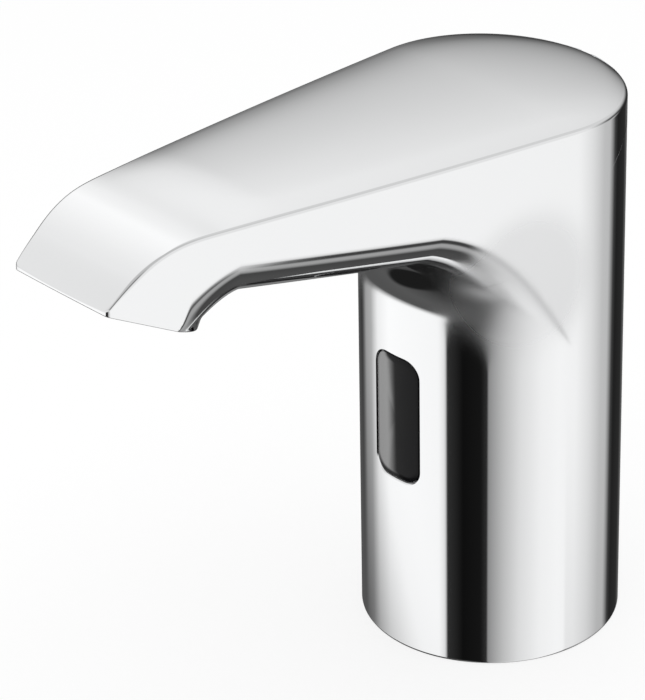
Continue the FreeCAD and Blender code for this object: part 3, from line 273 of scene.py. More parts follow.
    def underside(self, p: np.ndarray) -> Field:
        """Everything above the spout's flat underside."""
        form = self.form
        scale = math.hypot(1, form.under_slope)
        value = (form.under_z - form.under_slope * (p[:, 1] + form.column_r) - p[:, 2]) / scale
        return Field(value, np.broadcast_to(np.array([0, -form.under_slope, -1]) / scale, p.shape))

    def neck(self, p: np.ndarray) -> Field:
        """Cylinder of the outlet's neck."""
        offset = p - self.outlet
        across = offset - (offset @ self.outlet_out)[:, None] * self.outlet_out
        far = np.maximum(np.linalg.norm(across, axis=1), 1e-9)
        return Field(far - self.form.neck_r, across / far[:, None])

    def under_top(self, p: np.ndarray) -> Field:
        """The casting without its top face: column, throat, underside, neck and side walls."""
        form = self.form
        low = filled(self.underside(p), self.column(p), form.throat_r)
        low = filled(low, self.neck(p), form.neck_fill)
        fade = smooth_step((p[:, 1] - form.outlet_y) / form.neck_fade)
        return rounded(low, self.walls(p), form.nose_edge_r + (form.lower_r - form.nose_edge_r) * fade)

    def inside(self, p: np.ndarray) -> Field:
        """The hollow's boundary, one wall behind the outside."""
        normal = self.top_normal(p[:, 1])
        top = Field((p[:, 2] - self.top(p[:, 1])) * normal[:, 2], normal)
        outside = rounded(self.under_top(p), top, self.form.nose_edge_r)
        return Field(outside.value + self.form.wall, outside.slope)


@dataclass(frozen=True)
class Row:
    """One row of the skin: a plane that holds the X direction, with the rays' centre in it."""

    pivot: tuple[float, float]
    heading: float
    reach: float
    crease_y: float | None = None
    start: tuple[float, float, float] | None = None

    def centre(self) -> np.ndarray:
        """Where the row's rays start."""
        y, z = self.pivot
        ahead, up = self.reach * math.cos(self.heading), self.reach * math.sin(self.heading)
        return np.array([0.0, y + ahead, z + up])

    def angle_of(self, p: np.ndarray) -> float:
        """Angle at which a ray of this row passes p."""
        y, z = p[1] - self.pivot[0], p[2] - self.pivot[1]
        along = y * math.cos(self.heading) + z * math.sin(self.heading)
        return math.atan2(along - self.reach, p[0])


def read(items: bpy.types.bpy_prop_collection, name: str, width: int = 1, kind: type = float) -> np.ndarray:
    """One property of all the items of a mesh, as an array with a row for each item."""
    values = np.empty(len(items) * width, kind)
    items.foreach_get(name, values)
    return values if width == 1 else values.reshape(-1, width)


def new_object(name: str, data: bpy.types.ID) -> bpy.types.Object:
    """Makes an object and links it to the scene."""
    obj = bpy.data.objects.new(name, data)
    bpy.context.scene.collection.objects.link(obj)
    return obj


def mend(mesh: bpy.types.Mesh, join: float, no_length: float = 0.0) -> int:
    """Joins vertices that meet and turns the faces outwards.

    Args:
        mesh: the mesh to change.
        join: vertices nearer than this become one.
        no_length: edges shorter than this are closed up.

    Returns:
        How many edges are open.
    """
    work = bmesh.new()
    work.from_mesh(mesh)
    bmesh.ops.remove_doubles(work, verts=work.verts, dist=join)
    if no_length:
        bmesh.ops.dissolve_degenerate(work, edges=work.edges, dist=no_length)
    bmesh.ops.recalc_face_normals(work, faces=work.faces)
    open_edges = sum(1 for edge in work.edges if not edge.is_manifold)
    work.to_mesh(mesh)
    work.free()
    return open_edges


class Skin:
    """Vertices and faces gathered sheet by sheet."""

    JOIN = 2e-6
    NO_LENGTH = 1e-7

    def __init__(self) -> None:
        self.points: list[np.ndarray] = []
        self.faces: list[np.ndarray] = []
        self.count = 0

    def add(self, points: np.ndarray) -> np.ndarray:
        """Adds vertices and returns their numbers, in the same layout."""
        points = np.asarray(points, float)
        index = self.count + np.arange(points.size // 3).reshape(points.shape[:-1])
        self.points.append(points.reshape(-1, 3))
        self.count += index.size
        return index

    def quads(self, index: np.ndarray, keep: np.ndarray | None = None) -> None:
        """Faces between neighbouring rows and columns, where keep is true."""
        corners = [index[:-1, :-1], index[:-1, 1:], index[1:, 1:], index[1:, :-1]]
        faces = np.stack(corners, axis=-1)
        self.faces.append(faces.reshape(-1, 4) if keep is None else faces[keep])

    def sheet(self, points: np.ndarray) -> np.ndarray:
        """Adds a whole sheet of points with its faces."""
        index = self.add(points)
        self.quads(index)
        return index

    def rings(self, loops: list[np.ndarray]) -> None:
        """Adds bands between closed loops of the same number of points."""
        self.sheet(np.array([np.concatenate([loop, loop[:1]]) for loop in loops]))

    def build(self, name: str, sharp_degrees: float = 38.0) -> bpy.types.Object:
        """Joins vertices that meet, turns the faces outwards and makes the object.

        Args:
            name: the object's name.
            sharp_degrees: edges that turn by more than this are drawn sharp.

        Returns:
            The object, linked to the scene.
        """
        points, faces = np.concatenate(self.points), np.concatenate(self.faces)
        mesh = bpy.data.meshes.new(name)
        mesh.vertices.add(len(points))
        mesh.vertices.foreach_set("co", points.astype(np.float32).ravel())
        mesh.loops.add(faces.size)
        mesh.loops.foreach_set("vertex_index", faces.astype(np.int32).ravel())
        mesh.polygons.add(len(faces))
        mesh.polygons.foreach_set("loop_start", np.arange(0, faces.size, 4, dtype=np.int32))
        mesh.update(calc_edges=True)
        open_edges = mend(mesh, self.JOIN, self.NO_LENGTH)
        mesh.polygons.foreach_set("use_smooth", np.ones(len(mesh.polygons), bool))
        mesh.set_sharp_from_angle(angle=math.radians(sharp_degrees))
        log.info("%s: %d faces, %d open edges", name, len(mesh.polygons), open_edges)
        return new_object(name, mesh)


EDGE_TURNS = np.linspace(0, math.pi / 2, 4)[1:]


def on_column(x: np.ndarray, z: np.ndarray, radius: float) -> np.ndarray:
    """Points of the column's front at that radius, from their x and z."""
    return np.stack([x, -np.sqrt(radius**2 - x**2), z], axis=-1)


def window_outline(window: WindowForm, towards: np.ndarray, grow: float) -> np.ndarray:
    """Points of the window's rounded rectangle, one for each point of a loop that lies outside it.

    A point q goes to k + (r + grow) (q - k) / |q - k|, where k is the nearest point of the rectangle that
    the corners' centres make.

    Args:
        window: the window's sizes.
        towards: x and z of the outer loop's points.
        grow: how far the outline stands outside the lens's edge.

    Returns:
        x and z of the outline's points.
    """
    core = np.array([window.half_width, window.half_height]) - window.corner_r
    local = towards - np.array([0.0, window.centre_z])
    nearest = np.clip(local, -core, core)
    away = local - nearest
    away /= np.linalg.norm(away, axis=1, keepdims=True)
    return nearest + (window.corner_r + grow) * away + np.array([0.0, window.centre_z])


class CastingSkin:
    """Lays a grid over the casting: rows are planes that turn with the bend, and columns go round them."""

    COLUMNS = 160
    WINDOW_COLUMNS = 10
    CREASE_STEPS = 6
    FOOT_ROWS = 16
    WINDOW_ROWS = 31
    TURN_ROWS = 20
    CAP_ROWS = 46
    WALL_ROWS = 34
    SPOUT_ROWS = 18
    NOSE_ROWS = 66
    CORNER_ROWS = 3
    LIP_CORNER_POINTS = 6
    LIP_HALF_POINTS = 13
    HALVINGS = 28
    FAR = 60.0 * MM
    BEND = np.array([-46.0, 70.0]) * MM
    NOSE_Y = -71.0 * MM
    WINDOW_LOW = 33.0 * MM
    WINDOW_HIGH = 67.4 * MM
    WINDOW_SHARE = 0.6
    ON_SKIN = 0.005 * MM
    SAME_WAY = 0.9

    def __init__(self, casting: Casting, window: WindowForm) -> None:
        self.casting = casting
        self.form = casting.form
        self.window = window
        self.nose = np.array([self.NOSE_Y, self.rim_plane(self.NOSE_Y)])
        self.lip = self.lip_curve()
        self.corner = self.lip_points(0.0)[0, 0]
        self.rows = self.ring_rows() + self.bend_rows() + self.spout_rows() + self.nose_rows()
        self.crease_places = np.array([row.crease_y for row in self.rows if row.crease_y is not None])

    # rows

    def ring_rows(self) -> list[Row]:
        """Level rows up the column, with close ones beside the window."""
        below = np.linspace(self.form.foot_r, self.WINDOW_LOW, self.FOOT_ROWS)
        beside = np.linspace(self.WINDOW_LOW, self.WINDOW_HIGH, self.WINDOW_ROWS)[1:]
        levels = [*below, *beside, (self.WINDOW_HIGH + self.BEND[1]) / 2]
        return [Row((self.BEND[0], z), 0.0, -self.BEND[0]) for z in levels]

    def bend_reach(self, heading: float) -> float:
        """Distance of the rays' centre from the bend's pivot."""
        share = heading / (math.pi / 2)
        at_spout = self.middle_z(self.BEND[0]) - self.BEND[1]
        return -self.BEND[0] * (1 - share) + at_spout * share

    def middle_z(self, y: float) -> float:
        """Half way between the spout's underside and its top."""
        under = self.form.under_z - self.form.under_slope * (y + self.form.column_r)
        return (under + float(self.casting.top(np.array(y)))) / 2

    def crease_row(self, pivot: np.ndarray, y: float, reach: Callable[[float], float]) -> Row:
        """Row through the pivot and the point of the top face's edge at y."""
        z = float(self.casting.top(np.array(y)))
        heading = math.atan2(z - pivot[1], y - pivot[0])
        return Row(tuple(pivot), heading, reach(heading), crease_y=float(y))

    def bend_rows(self) -> list[Row]:
        """Rows that turn about the bend, up to the back of the top face and then along its edge."""
        form = self.form
        rear = self.crease_row(self.BEND, form.column_r, self.bend_reach)
        headings = np.linspace(0, rear.heading, self.TURN_ROWS)[:-1]
        low = [Row(tuple(self.BEND), heading, self.bend_reach(heading)) for heading in headings]
        cap = form.column_r * np.cos(np.linspace(0, math.pi / 2 + form.side_start, self.CAP_ROWS))
        walls = np.linspace(self.casting.start[1], self.BEND[0], self.WALL_ROWS)[1:]
        return low + [self.crease_row(self.BEND, y, self.bend_reach) for y in [*cap, *walls]]

    def spout_rows(self) -> list[Row]:
        """Upright rows along the middle of the spout."""
        low = self.BEND[1]
        places = np.linspace(self.BEND[0], self.nose[0], self.SPOUT_ROWS)[1:-1]
        return [Row((y, low), math.pi / 2, self.middle_z(y) - low, crease_y=float(y)) for y in places]

    def nose_reach(self, heading: float) -> float:
        """Distance of the rays' centre from the nose's pivot."""
        share = (heading - math.pi / 2) / (math.pi / 2 - self.form.outlet_tilt)
        at_start = self.middle_z(self.nose[0]) - self.nose[1]
        at_outlet = (self.nose[0] - self.form.outlet_y) / math.cos(self.form.outlet_tilt)
        return at_start * (1 - share) + at_outlet * share

    def nose_rows(self) -> list[Row]:
        """Rows that turn about the nose's pivot, from upright to the outlet's plane."""
        places = np.linspace(self.nose[0], self.lip[0, 1], self.NOSE_ROWS)
        rows = [self.crease_row(self.nose, y, self.nose_reach) for y in places]
        x, y, high = self.corner
        for share in np.linspace(0, 1, self.CORNER_ROWS + 1)[1:]:
            z = high + (self.rim_plane(y) - high) * share
            heading = math.atan2(z - self.nose[1], y - self.nose[0])
            rows.append(Row(tuple(self.nose), heading, self.nose_reach(heading), start=(x, y, z)))
        return rows

    # edges

    def rim_plane(self, y: np.ndarray | float) -> np.ndarray | float:
        """Height at y of the plane where the outlet's rounded rim begins."""
        form = self.form
        level = form.outlet_z + form.rim_r / math.cos(form.outlet_tilt)
        return level - math.tan(form.outlet_tilt) * (y - form.outlet_y)

    def lip_curve(self) -> np.ndarray:
        """Plan of the front lip: a small arc at each corner and a slight bow between them."""
        form, casting = self.form, self.casting
        wall = casting.wall_normal(np.array(-form.reach))[:2]
        corner = np.array([float(casting.half_width(np.array(-form.reach))), -form.reach])
        bow = 2 * math.atan(form.lip_bulge / corner[0])
        lip = np.array([math.sin(bow), -math.cos(bow)])
        turn = math.acos(float(wall @ lip))
        along = np.array([-wall[1], wall[0]])
        touch = corner + along * form.lip_corner * math.tan(turn / 2)
        centre = touch - wall * form.lip_corner
        start = math.atan2(wall[1], wall[0])
        arc = start - np.linspace(0, turn, self.LIP_CORNER_POINTS)
        right = centre + form.lip_corner * np.stack([np.cos(arc), np.sin(arc)], axis=-1)
        x = np.linspace(right[-1, 0], 0, self.LIP_HALF_POINTS)[1:]
        y = right[-1, 1] - (form.reach + form.lip_bulge + right[-1, 1]) * (1 - (x / right[-1, 0]) ** 2)
        half = np.concatenate([right, np.stack([x, y], axis=-1)])
        return np.concatenate([half, half[-2::-1] * np.array([-1, 1])])

    def crease_points(self, y: np.ndarray, share: np.ndarray | float) -> np.ndarray:
        """Rounded edge of the top face on the +X side, one row for each y and one column for each share."""
        form, casting = self.form, self.casting
        fade = smooth_step((y - self.lip[0, 1]) / form.crease_fade)
        radius = form.lip_crease_r + (form.crease_r - form.lip_crease_r) * fade
        edge = np.stack([casting.half_width(y), y, casting.top(y)], axis=-1)
        return self.round_edge(edge, casting.wall_normal(y), casting.edge_normal(y), radius, share)

    def lip_points(self, share: np.ndarray | float) -> np.ndarray:
        """Rounded edge of the top face along the lip, from the +X corner to the other."""
        along = np.gradient(self.lip, axis=0)
        wall = np.stack([-along[:, 1], along[:, 0], np.zeros(len(along))], axis=-1)
        wall /= np.linalg.norm(wall, axis=1, keepdims=True)
        wall[0] = self.casting.wall_normal(self.lip[0, 1])
        wall[-1] = wall[0] * [-1, 1, 1]
        y = self.lip[:, 1]
        edge = np.column_stack([self.lip, self.casting.top(y)])
        radius = np.full(len(y), self.form.lip_crease_r)
        return self.round_edge(edge, wall, self.casting.top_normal(y), radius, share)

    @staticmethod
    def round_edge(
        edge: np.ndarray, wall: np.ndarray, top: np.ndarray, radius: np.ndarray, share: np.ndarray | float
    ) -> np.ndarray:
        """Rounds an edge P between an upright face of normal n and a top face of normal m.

        The rounding's centre line is P - r (n + m) / (1 + n.m), and it turns from n to m.

        Args:
            edge: points of the sharp edge.
            wall: the upright face's normals.
            top: the top face's normals.
            radius: one radius for each point.
            share: how far round the edge, from 0 on the upright face to 1 on the top.

        Returns:
            Points, one row for each point of the edge and one column for each share.
        """
        part = np.atleast_1d(share)[None, :, None]
        cosine = np.einsum("ij,ij->i", wall, top)[:, None]
        centre = edge - radius[:, None] * (wall + top) / (1 + cosine)
        turn = np.arccos(cosine)[..., None]
        arm = np.sin((1 - part) * turn) * wall[:, None] + np.sin(part * turn) * top[:, None]
        return centre[:, None] + radius[:, None, None] * arm / np.sin(turn)

    # sheets

    def cast_rays(
        self, rows: list[Row], angles: np.ndarray, field: Callable[[np.ndarray], Field]
    ) -> np.ndarray:
        """Where each row's rays leave the body, found by halving."""
        centre = np.array([row.centre() for row in rows])[:, None]
        across = np.array([[0, math.cos(row.heading), math.sin(row.heading)] for row in rows])[:, None]
        direction = np.cos(angles)[..., None] * np.array([1.0, 0, 0]) + np.sin(angles)[..., None] * across
        near, far = np.zeros(angles.shape), np.full(angles.shape, self.FAR)
        for _ in range(self.HALVINGS):
            middle = (near + far) / 2
            points = centre + middle[..., None] * direction
            within = (field(points.reshape(-1, 3)).value < 0).reshape(angles.shape)
            near, far = np.where(within, middle, near), np.where(within, far, middle)
        return centre + near[..., None] * direction

    def outer_sheet(self) -> np.ndarray:
        """The outside below the top face, from the foot to the outlet's plane."""
        shares = np.linspace(0, 1, self.COLUMNS + 1)
        starts, first = [], []
        for row in self.rows:
            if row.crease_y is not None:
                start = self.crease_points(np.array([row.crease_y]), 0.0)[0, 0]
            else:
                start = None if row.start is None else np.array(row.start)
            starts.append(start)
            first.append(math.pi / 2 if start is None else row.angle_of(start))
        first = np.array(first)[:, None]
        angles = first + (-math.pi - 2 * first) * shares
        points = self.cast_rays(self.rows, angles, self.casting.under_top)
        for line, start in zip(points, starts):
            if start is not None:
                line[0], line[-1] = start, start * np.array([-1, 1, 1])
        return points

    def top_sheet(self) -> np.ndarray:
        """The crowned top face, from the back of the column to the lip."""
        places = self.crease_places
        right = self.crease_points(places, 1.0)[:, 0]
        lip = self.lip_points(1.0)[:, 0]
        across = lip[:, 0] / lip[0, 0]
        sheet = right[:, None] * np.stack([across, np.ones_like(across), np.ones_like(across)], axis=-1)
        rise = right[:, 0] * self.casting.crown_slope(places)
        sheet[..., 2] += rise[:, None] * self.casting.crown_rise(across)
        return np.concatenate([sheet[:-1], lip[None]])

    def front_sheet(self) -> np.ndarray:
        """The narrow upright face between the lip and the outlet's rim."""
        high = self.lip_points(0.0)[:, 0]
        low = np.column_stack([high[:, :2], self.rim_plane(high[:, 1])])
        share = np.linspace(0, 1, self.CORNER_ROWS + 1)[:, None, None]
        return high + (low - high) * share

    def window_frame(
        self, skin: Skin, index: np.ndarray, points: np.ndarray
    ) -> tuple[np.ndarray, np.ndarray]:
        """Leaves the window's place out of a sheet, and returns the loop round it.

        Args:
            skin: where the sheet's faces go.
            index: the sheet's vertex numbers.
            points: the sheet's points.

        Returns:
            The loop's points, and the x and z that they would have on the outside.
        """
        level = [i for i, row in enumerate(self.rows) if row.heading == 0.0 and row.pivot[0] == self.BEND[0]]
        heights = np.array([self.rows[i].pivot[1] for i in level])
        low = int(np.argmin(abs(heights - self.WINDOW_LOW)))
        high = int(np.argmin(abs(heights - self.WINDOW_HIGH)))
        left = self.COLUMNS // 2 - self.WINDOW_COLUMNS
        right = self.COLUMNS // 2 + self.WINDOW_COLUMNS
        keep = np.ones((index.shape[0] - 1, index.shape[1] - 1), bool)
        keep[low:high, left:right] = False
        skin.quads(index, keep)
        walk = [(low, j) for j in range(left, right)] + [(i, right) for i in range(low, high)]
        walk += [(high, j) for j in range(right, left, -1)] + [(i, left) for i in range(high, low, -1)]
        rows, columns = np.array(walk).T
        loop = points[rows, columns]
        angle = 2 * math.pi * (columns / self.COLUMNS - 0.5)
        shown = np.stack([-self.form.column_r * np.sin(angle), loop[:, 2]], axis=-1)
        return loop, shown

    def outlet_loops(self, outline: np.ndarray) -> list[np.ndarray]:
        """The outlet's rounded rim, its flat face, the aerator's seat and the chamber above it, as loops."""
        form, down = self.form, self.casting.outlet_out
        along = np.roll(outline, -1, axis=0) - np.roll(outline, 1, axis=0)
        inward = np.cross(along, down)
        inward /= np.linalg.norm(inward, axis=1, keepdims=True)
        away = outline - self.casting.outlet
        away -= (away @ down)[:, None] * down
        inward *= -np.sign(np.einsum("ij,ij->i", inward, away))[:, None]
        away /= np.linalg.norm(away, axis=1, keepdims=True)
        loops = [outline]
        for turn in EDGE_TURNS:
            loops.append(outline + form.rim_r * ((1 - math.cos(turn)) * inward + math.sin(turn) * down))
        steps = [(form.bore_r, 0), (form.bore_r, form.bore_depth), (form.chamber_r, form.bore_depth)]
        steps += [(form.chamber_r, form.chamber_depth), (0.0, form.chamber_depth)]
        return loops + [self.casting.outlet + radius * away - depth * down for radius, depth in steps]

    def round_angles(self) -> np.ndarray:
        """Angles of the columns, once round from the back."""
        return math.pi / 2 - 2 * math.pi * np.linspace(0, 1, self.COLUMNS + 1)

    def foot_sheet(self, radius: float) -> np.ndarray:
        """Rounded foot of the column, and the ring that stands on the deck."""
        angle, bend = self.round_angles(), np.linspace(0, math.pi / 2, 5)
        radii = [*(self.form.column_r - self.form.foot_r * (1 - np.cos(bend))), radius]
        heights = [*(self.form.foot_r * (1 - np.sin(bend))), 0.0]
        ring = np.stack([np.cos(angle), np.sin(angle), np.zeros_like(angle)], axis=-1)
        return np.array([r * ring + [0, 0, z] for r, z in zip(radii, heights)])

    def build(self, name: str) -> bpy.types.Object:
        """The whole casting as one closed mesh, with its hollow, window opening and outlet."""
        skin = Skin()
        outer = self.outer_sheet()
        loop, shown = self.window_frame(skin, skin.add(outer), outer)
        top = self.top_sheet()
        skin.sheet(top)
        round_it = np.linspace(0, 1, self.CREASE_STEPS + 1)
        crease = self.crease_points(self.crease_places, round_it)
        skin.sheet(crease)
        skin.sheet(crease * [-1, 1, 1])
        skin.sheet(self.lip_points(round_it))
        front = self.front_sheet()
        skin.sheet(front)
        outline = np.concatenate([outer[-1], front[-1, ::-1][1:-1]])
        skin.rings(self.outlet_loops(outline))

        inner_r = self.form.column_r - self.form.wall
        hollow_rows = [row for row in self.rows if row.centre()[1] > self.form.cavity_end_y]
        angles = np.tile(self.round_angles(), (len(hollow_rows), 1))
        inner = self.cast_rays(hollow_rows, angles, self.casting.inside)
        inner_loop, _ = self.window_frame(skin, skin.add(inner), inner)
        tip = np.broadcast_to(hollow_rows[-1].centre(), inner[-1].shape)
        skin.sheet(np.stack([inner[-1], tip]))
        foot = self.foot_sheet(inner_r)
        skin.sheet(foot)
        skin.sheet(np.stack([foot[-1], inner[0]]))

        window, outside = self.window, self.form.column_r
        flare = window_outline(window, shown, window.gap + window.bevel)
        edge = window_outline(window, shown, window.gap)
        middle = shown + (flare - shown) * self.WINDOW_SHARE
        loops = [loop, on_column(*middle.T, outside), on_column(*flare.T, outside)]
        loops += [on_column(*edge.T, outside - window.bevel), on_column(*edge.T, inner_r), inner_loop]
        skin.rings(loops)
        obj = skin.build(name)
        self.true_normals(obj.data)
        return obj

    def true_normals(self, mesh: bpy.types.Mesh) -> None:
        """Shades the outside with the distance field's own normals, so that skewed faces leave no marks.

        Args:
            mesh: the casting's mesh.
        """
        sides = read(mesh.polygons, "loop_total", kind=np.int32)
        face = np.repeat(read(mesh.polygons, "normal", 3), sides, axis=0)
        place = read(mesh.vertices, "co", 3)[read(mesh.loops, "vertex_index", kind=np.int32)]
        field = self.casting.under_top(place)
        facing = np.einsum("ij,ij->i", face, field.slope)
        exact = (abs(field.value) < self.ON_SKIN) & (facing > self.SAME_WAY)
        normals = np.where(exact[:, None], field.slope, read(mesh.corner_normals, "vector", 3))
        mesh.normals_split_custom_set(normals.tolist())
        log.info("exact normals on %d of %d corners", exact.sum(), len(exact))


LENS_POINTS = 200
OUTSIDE = 30.0 * MM


def build_lens(window: WindowForm, form: CastingForm, name: str) -> bpy.types.Object:
    """The sensor's lens: a rounded rectangle bent to the column, with a softened edge.

    The face is s (x, z) for s from 1 to 0, where (x, z) is the outline, laid on a cylinder about Z.
    """
    skin = Skin()
    angle = 2 * math.pi * np.arange(LENS_POINTS) / LENS_POINTS
    far = np.stack([OUTSIDE * np.cos(angle), OUTSIDE * np.sin(angle) + window.centre_z], axis=-1)
    soft = window.soft
    outline = window_outline(window, far, 0.0)
    middle = np.array([0.0, window.centre_z])
    face_r = form.column_r - window.inset
    loops = [on_column(*outline.T, face_r - window.depth), on_column(*outline.T, face_r - soft)]
    for turn in EDGE_TURNS:
        ring = window_outline(window, far, -soft * (1 - math.cos(turn)))
        loops.append(on_column(*ring.T, face_r - soft * (1 - math.sin(turn))))
    inner = window_outline(window, far, -soft)
    for share in (0.9, 0.6, 0.3, 0.0):
        ring = middle + (inner - middle) * share
        loops.append(on_column(*ring.T, face_r))
    for share in (0.5, 0.0):
        ring = middle + (outline - middle) * share
        loops.insert(0, on_column(*ring.T, face_r - window.depth))
    skin.rings(loops)
    return skin.build(name)


# ---------------------------------------------------------------- materials


class Slot(str, Enum):
    """The record's material slots."""

    CHROME = "chrome_body"
    LENS = "black_lens"
    BRASS = "brass_bare"
    STEEL = "steel_bright"
    VALVE = "valve_plastic"
    GREY = "grey_plastic"
    BLACK = "black_plastic"
    RUBBER = "black_rubber"
    COPPER = "copper_winding"
    PIPE = "tube_plastic"
    BOARD = "board_green"
    EPOXY = "clear_epoxy"
    LED = "led_red"


@dataclass(frozen=True)
class Finish:
    """How a surface looks: colour, how metallic and rough it is, and the grain on it."""

    colour: tuple[float, float, float]
    metallic: float = 0.0
    roughness: float = 0.5
    grain_scale: float = 900.0
    grain_rough: float = 0.05
    grain_shade: float = 0.04
    bump: float = 0.0
    coat: float = 0.0
    specular: float = 0.5
    graze: float = 0.0
    satin: float = 0.0
    stretch: tuple[float, float, float] = (1.0, 1.0, 1.0)


FINISHES: dict[Slot, Finish] = {
    Slot.CHROME: Finish((0.90, 0.905, 0.91), 1.0, 0.05, 60.0, 0.02, 0.01, satin=0.26),
    Slot.LENS: Finish((0.004, 0.004, 0.0045), 0.0, 0.06, 120.0, 0.02, 0.02, specular=0.12, graze=0.43),
    Slot.BRASS: Finish((0.78, 0.57, 0.26), 1.0, 0.26, 500.0, 0.14, 0.10, 0.05, stretch=(1, 1, 14)),
    Slot.STEEL: Finish((0.58, 0.59, 0.60), 1.0, 0.24, 600.0, 0.12, 0.08, 0.04, stretch=(1, 1, 10)),
    Slot.VALVE: Finish((0.80, 0.80, 0.77), 0.0, 0.45, 1100.0, 0.10, 0.05, 0.06),
    Slot.GREY: Finish((0.12, 0.125, 0.135), 0.0, 0.42, 1100.0, 0.10, 0.08, 0.05),
    Slot.BLACK: Finish((0.014, 0.014, 0.015), 0.0, 0.42, 1300.0, 0.12, 0.20, 0.08),
    Slot.RUBBER: Finish((0.018, 0.018, 0.018), 0.0, 0.72, 1500.0, 0.12, 0.20, 0.12),
    Slot.COPPER: Finish((0.58, 0.20, 0.07), 0.9, 0.34, 260.0, 0.14, 0.25, 0.35, stretch=(0.05, 0.05, 14)),
    Slot.PIPE: Finish((0.80, 0.82, 0.84), 0.0, 0.38, 500.0, 0.08, 0.03, 0.02),
    Slot.BOARD: Finish((0.012, 0.09, 0.035), 0.0, 0.32, 420.0, 0.12, 0.35, 0.05, coat=0.4),
    Slot.EPOXY: Finish((0.03, 0.02, 0.05), 0.0, 0.08, 300.0, 0.03, 0.10, coat=0.5),
    Slot.LED: Finish((0.62, 0.02, 0.012), 0.0, 0.22, 300.0, 0.05, 0.10),
}


HOLLOW_MIDDLE = (23.5 * MM, -15.0 * MM, 82.0 * MM)
HOLLOW_REACH = (21.0 * MM, 11.0 * MM)
BUMP_DEPTH = 0.05 * MM
TO_DEGREES = 180 / math.pi


class Graph:
    """Adds nodes to a shader tree and joins them."""

    def __init__(self, tree: bpy.types.NodeTree) -> None:
        self.nodes, self.links = tree.nodes, tree.links

    def feed(self, node: bpy.types.Node, inputs: Inputs) -> None:
        """Gives a node's inputs, by name or number, another node's socket or a constant."""
        for key, value in inputs.items():
            if isinstance(value, bpy.types.NodeSocket):
                self.links.new(value, node.inputs[key])
            else:
                node.inputs[key].default_value = value

    def node(self, kind: str, inputs: Inputs | None = None, **settings: object) -> bpy.types.Node:
        """Adds one node.

        Args:
            kind: its type, without the words that all shader nodes start with.
            inputs: what its inputs get.
            settings: its properties, which are set first.

        Returns:
            The node.
        """
        made = self.nodes.new("ShaderNode" + kind)
        for name, value in settings.items():
            setattr(made, name, value)
        self.feed(made, inputs or {})
        return made

    def math(self, operation: str, *values: Value) -> bpy.types.NodeSocket:
        """Result of one sum."""
        return self.node("Math", dict(enumerate(values)), operation=operation).outputs[0]

    def mix(self, share: Value, low: Value, high: Value) -> bpy.types.NodeSocket:
        """The value low where share is 0, and high where it is 1."""
        return self.node("Mix", {"Factor": share, "A": low, "B": high}).outputs["Result"]

    def step(self, value: bpy.types.NodeSocket, low: float, high: float) -> bpy.types.NodeSocket:
        """Soft step from 0 where the value is low to 1 where it is high."""
        inputs = {"Value": value, "From Min": low, "From Max": high}
        return self.node("MapRange", inputs, interpolation_type="SMOOTHSTEP").outputs["Result"]

    def ramp(self, stops: Stops, degrees: bpy.types.NodeSocket) -> bpy.types.NodeSocket:
        """Level at an angle between -180 and 180 degrees, from (degrees, level) stops."""
        node = self.node("ValToRGB", {"Fac": self.math("MULTIPLY_ADD", degrees, 1 / 360, 0.5)})
        node.color_ramp.interpolation = "LINEAR"
        top = max(level for _, level in stops)
        elements = node.color_ramp.elements
        while len(elements) < len(stops):
            elements.new(0.5)
        for element, (angle, level) in zip(elements, stops):
            element.position = (angle + 180) / 360
            element.color = (level / top, level / top, level / top, 1)
        return self.math("MULTIPLY", node.outputs["Color"], top)


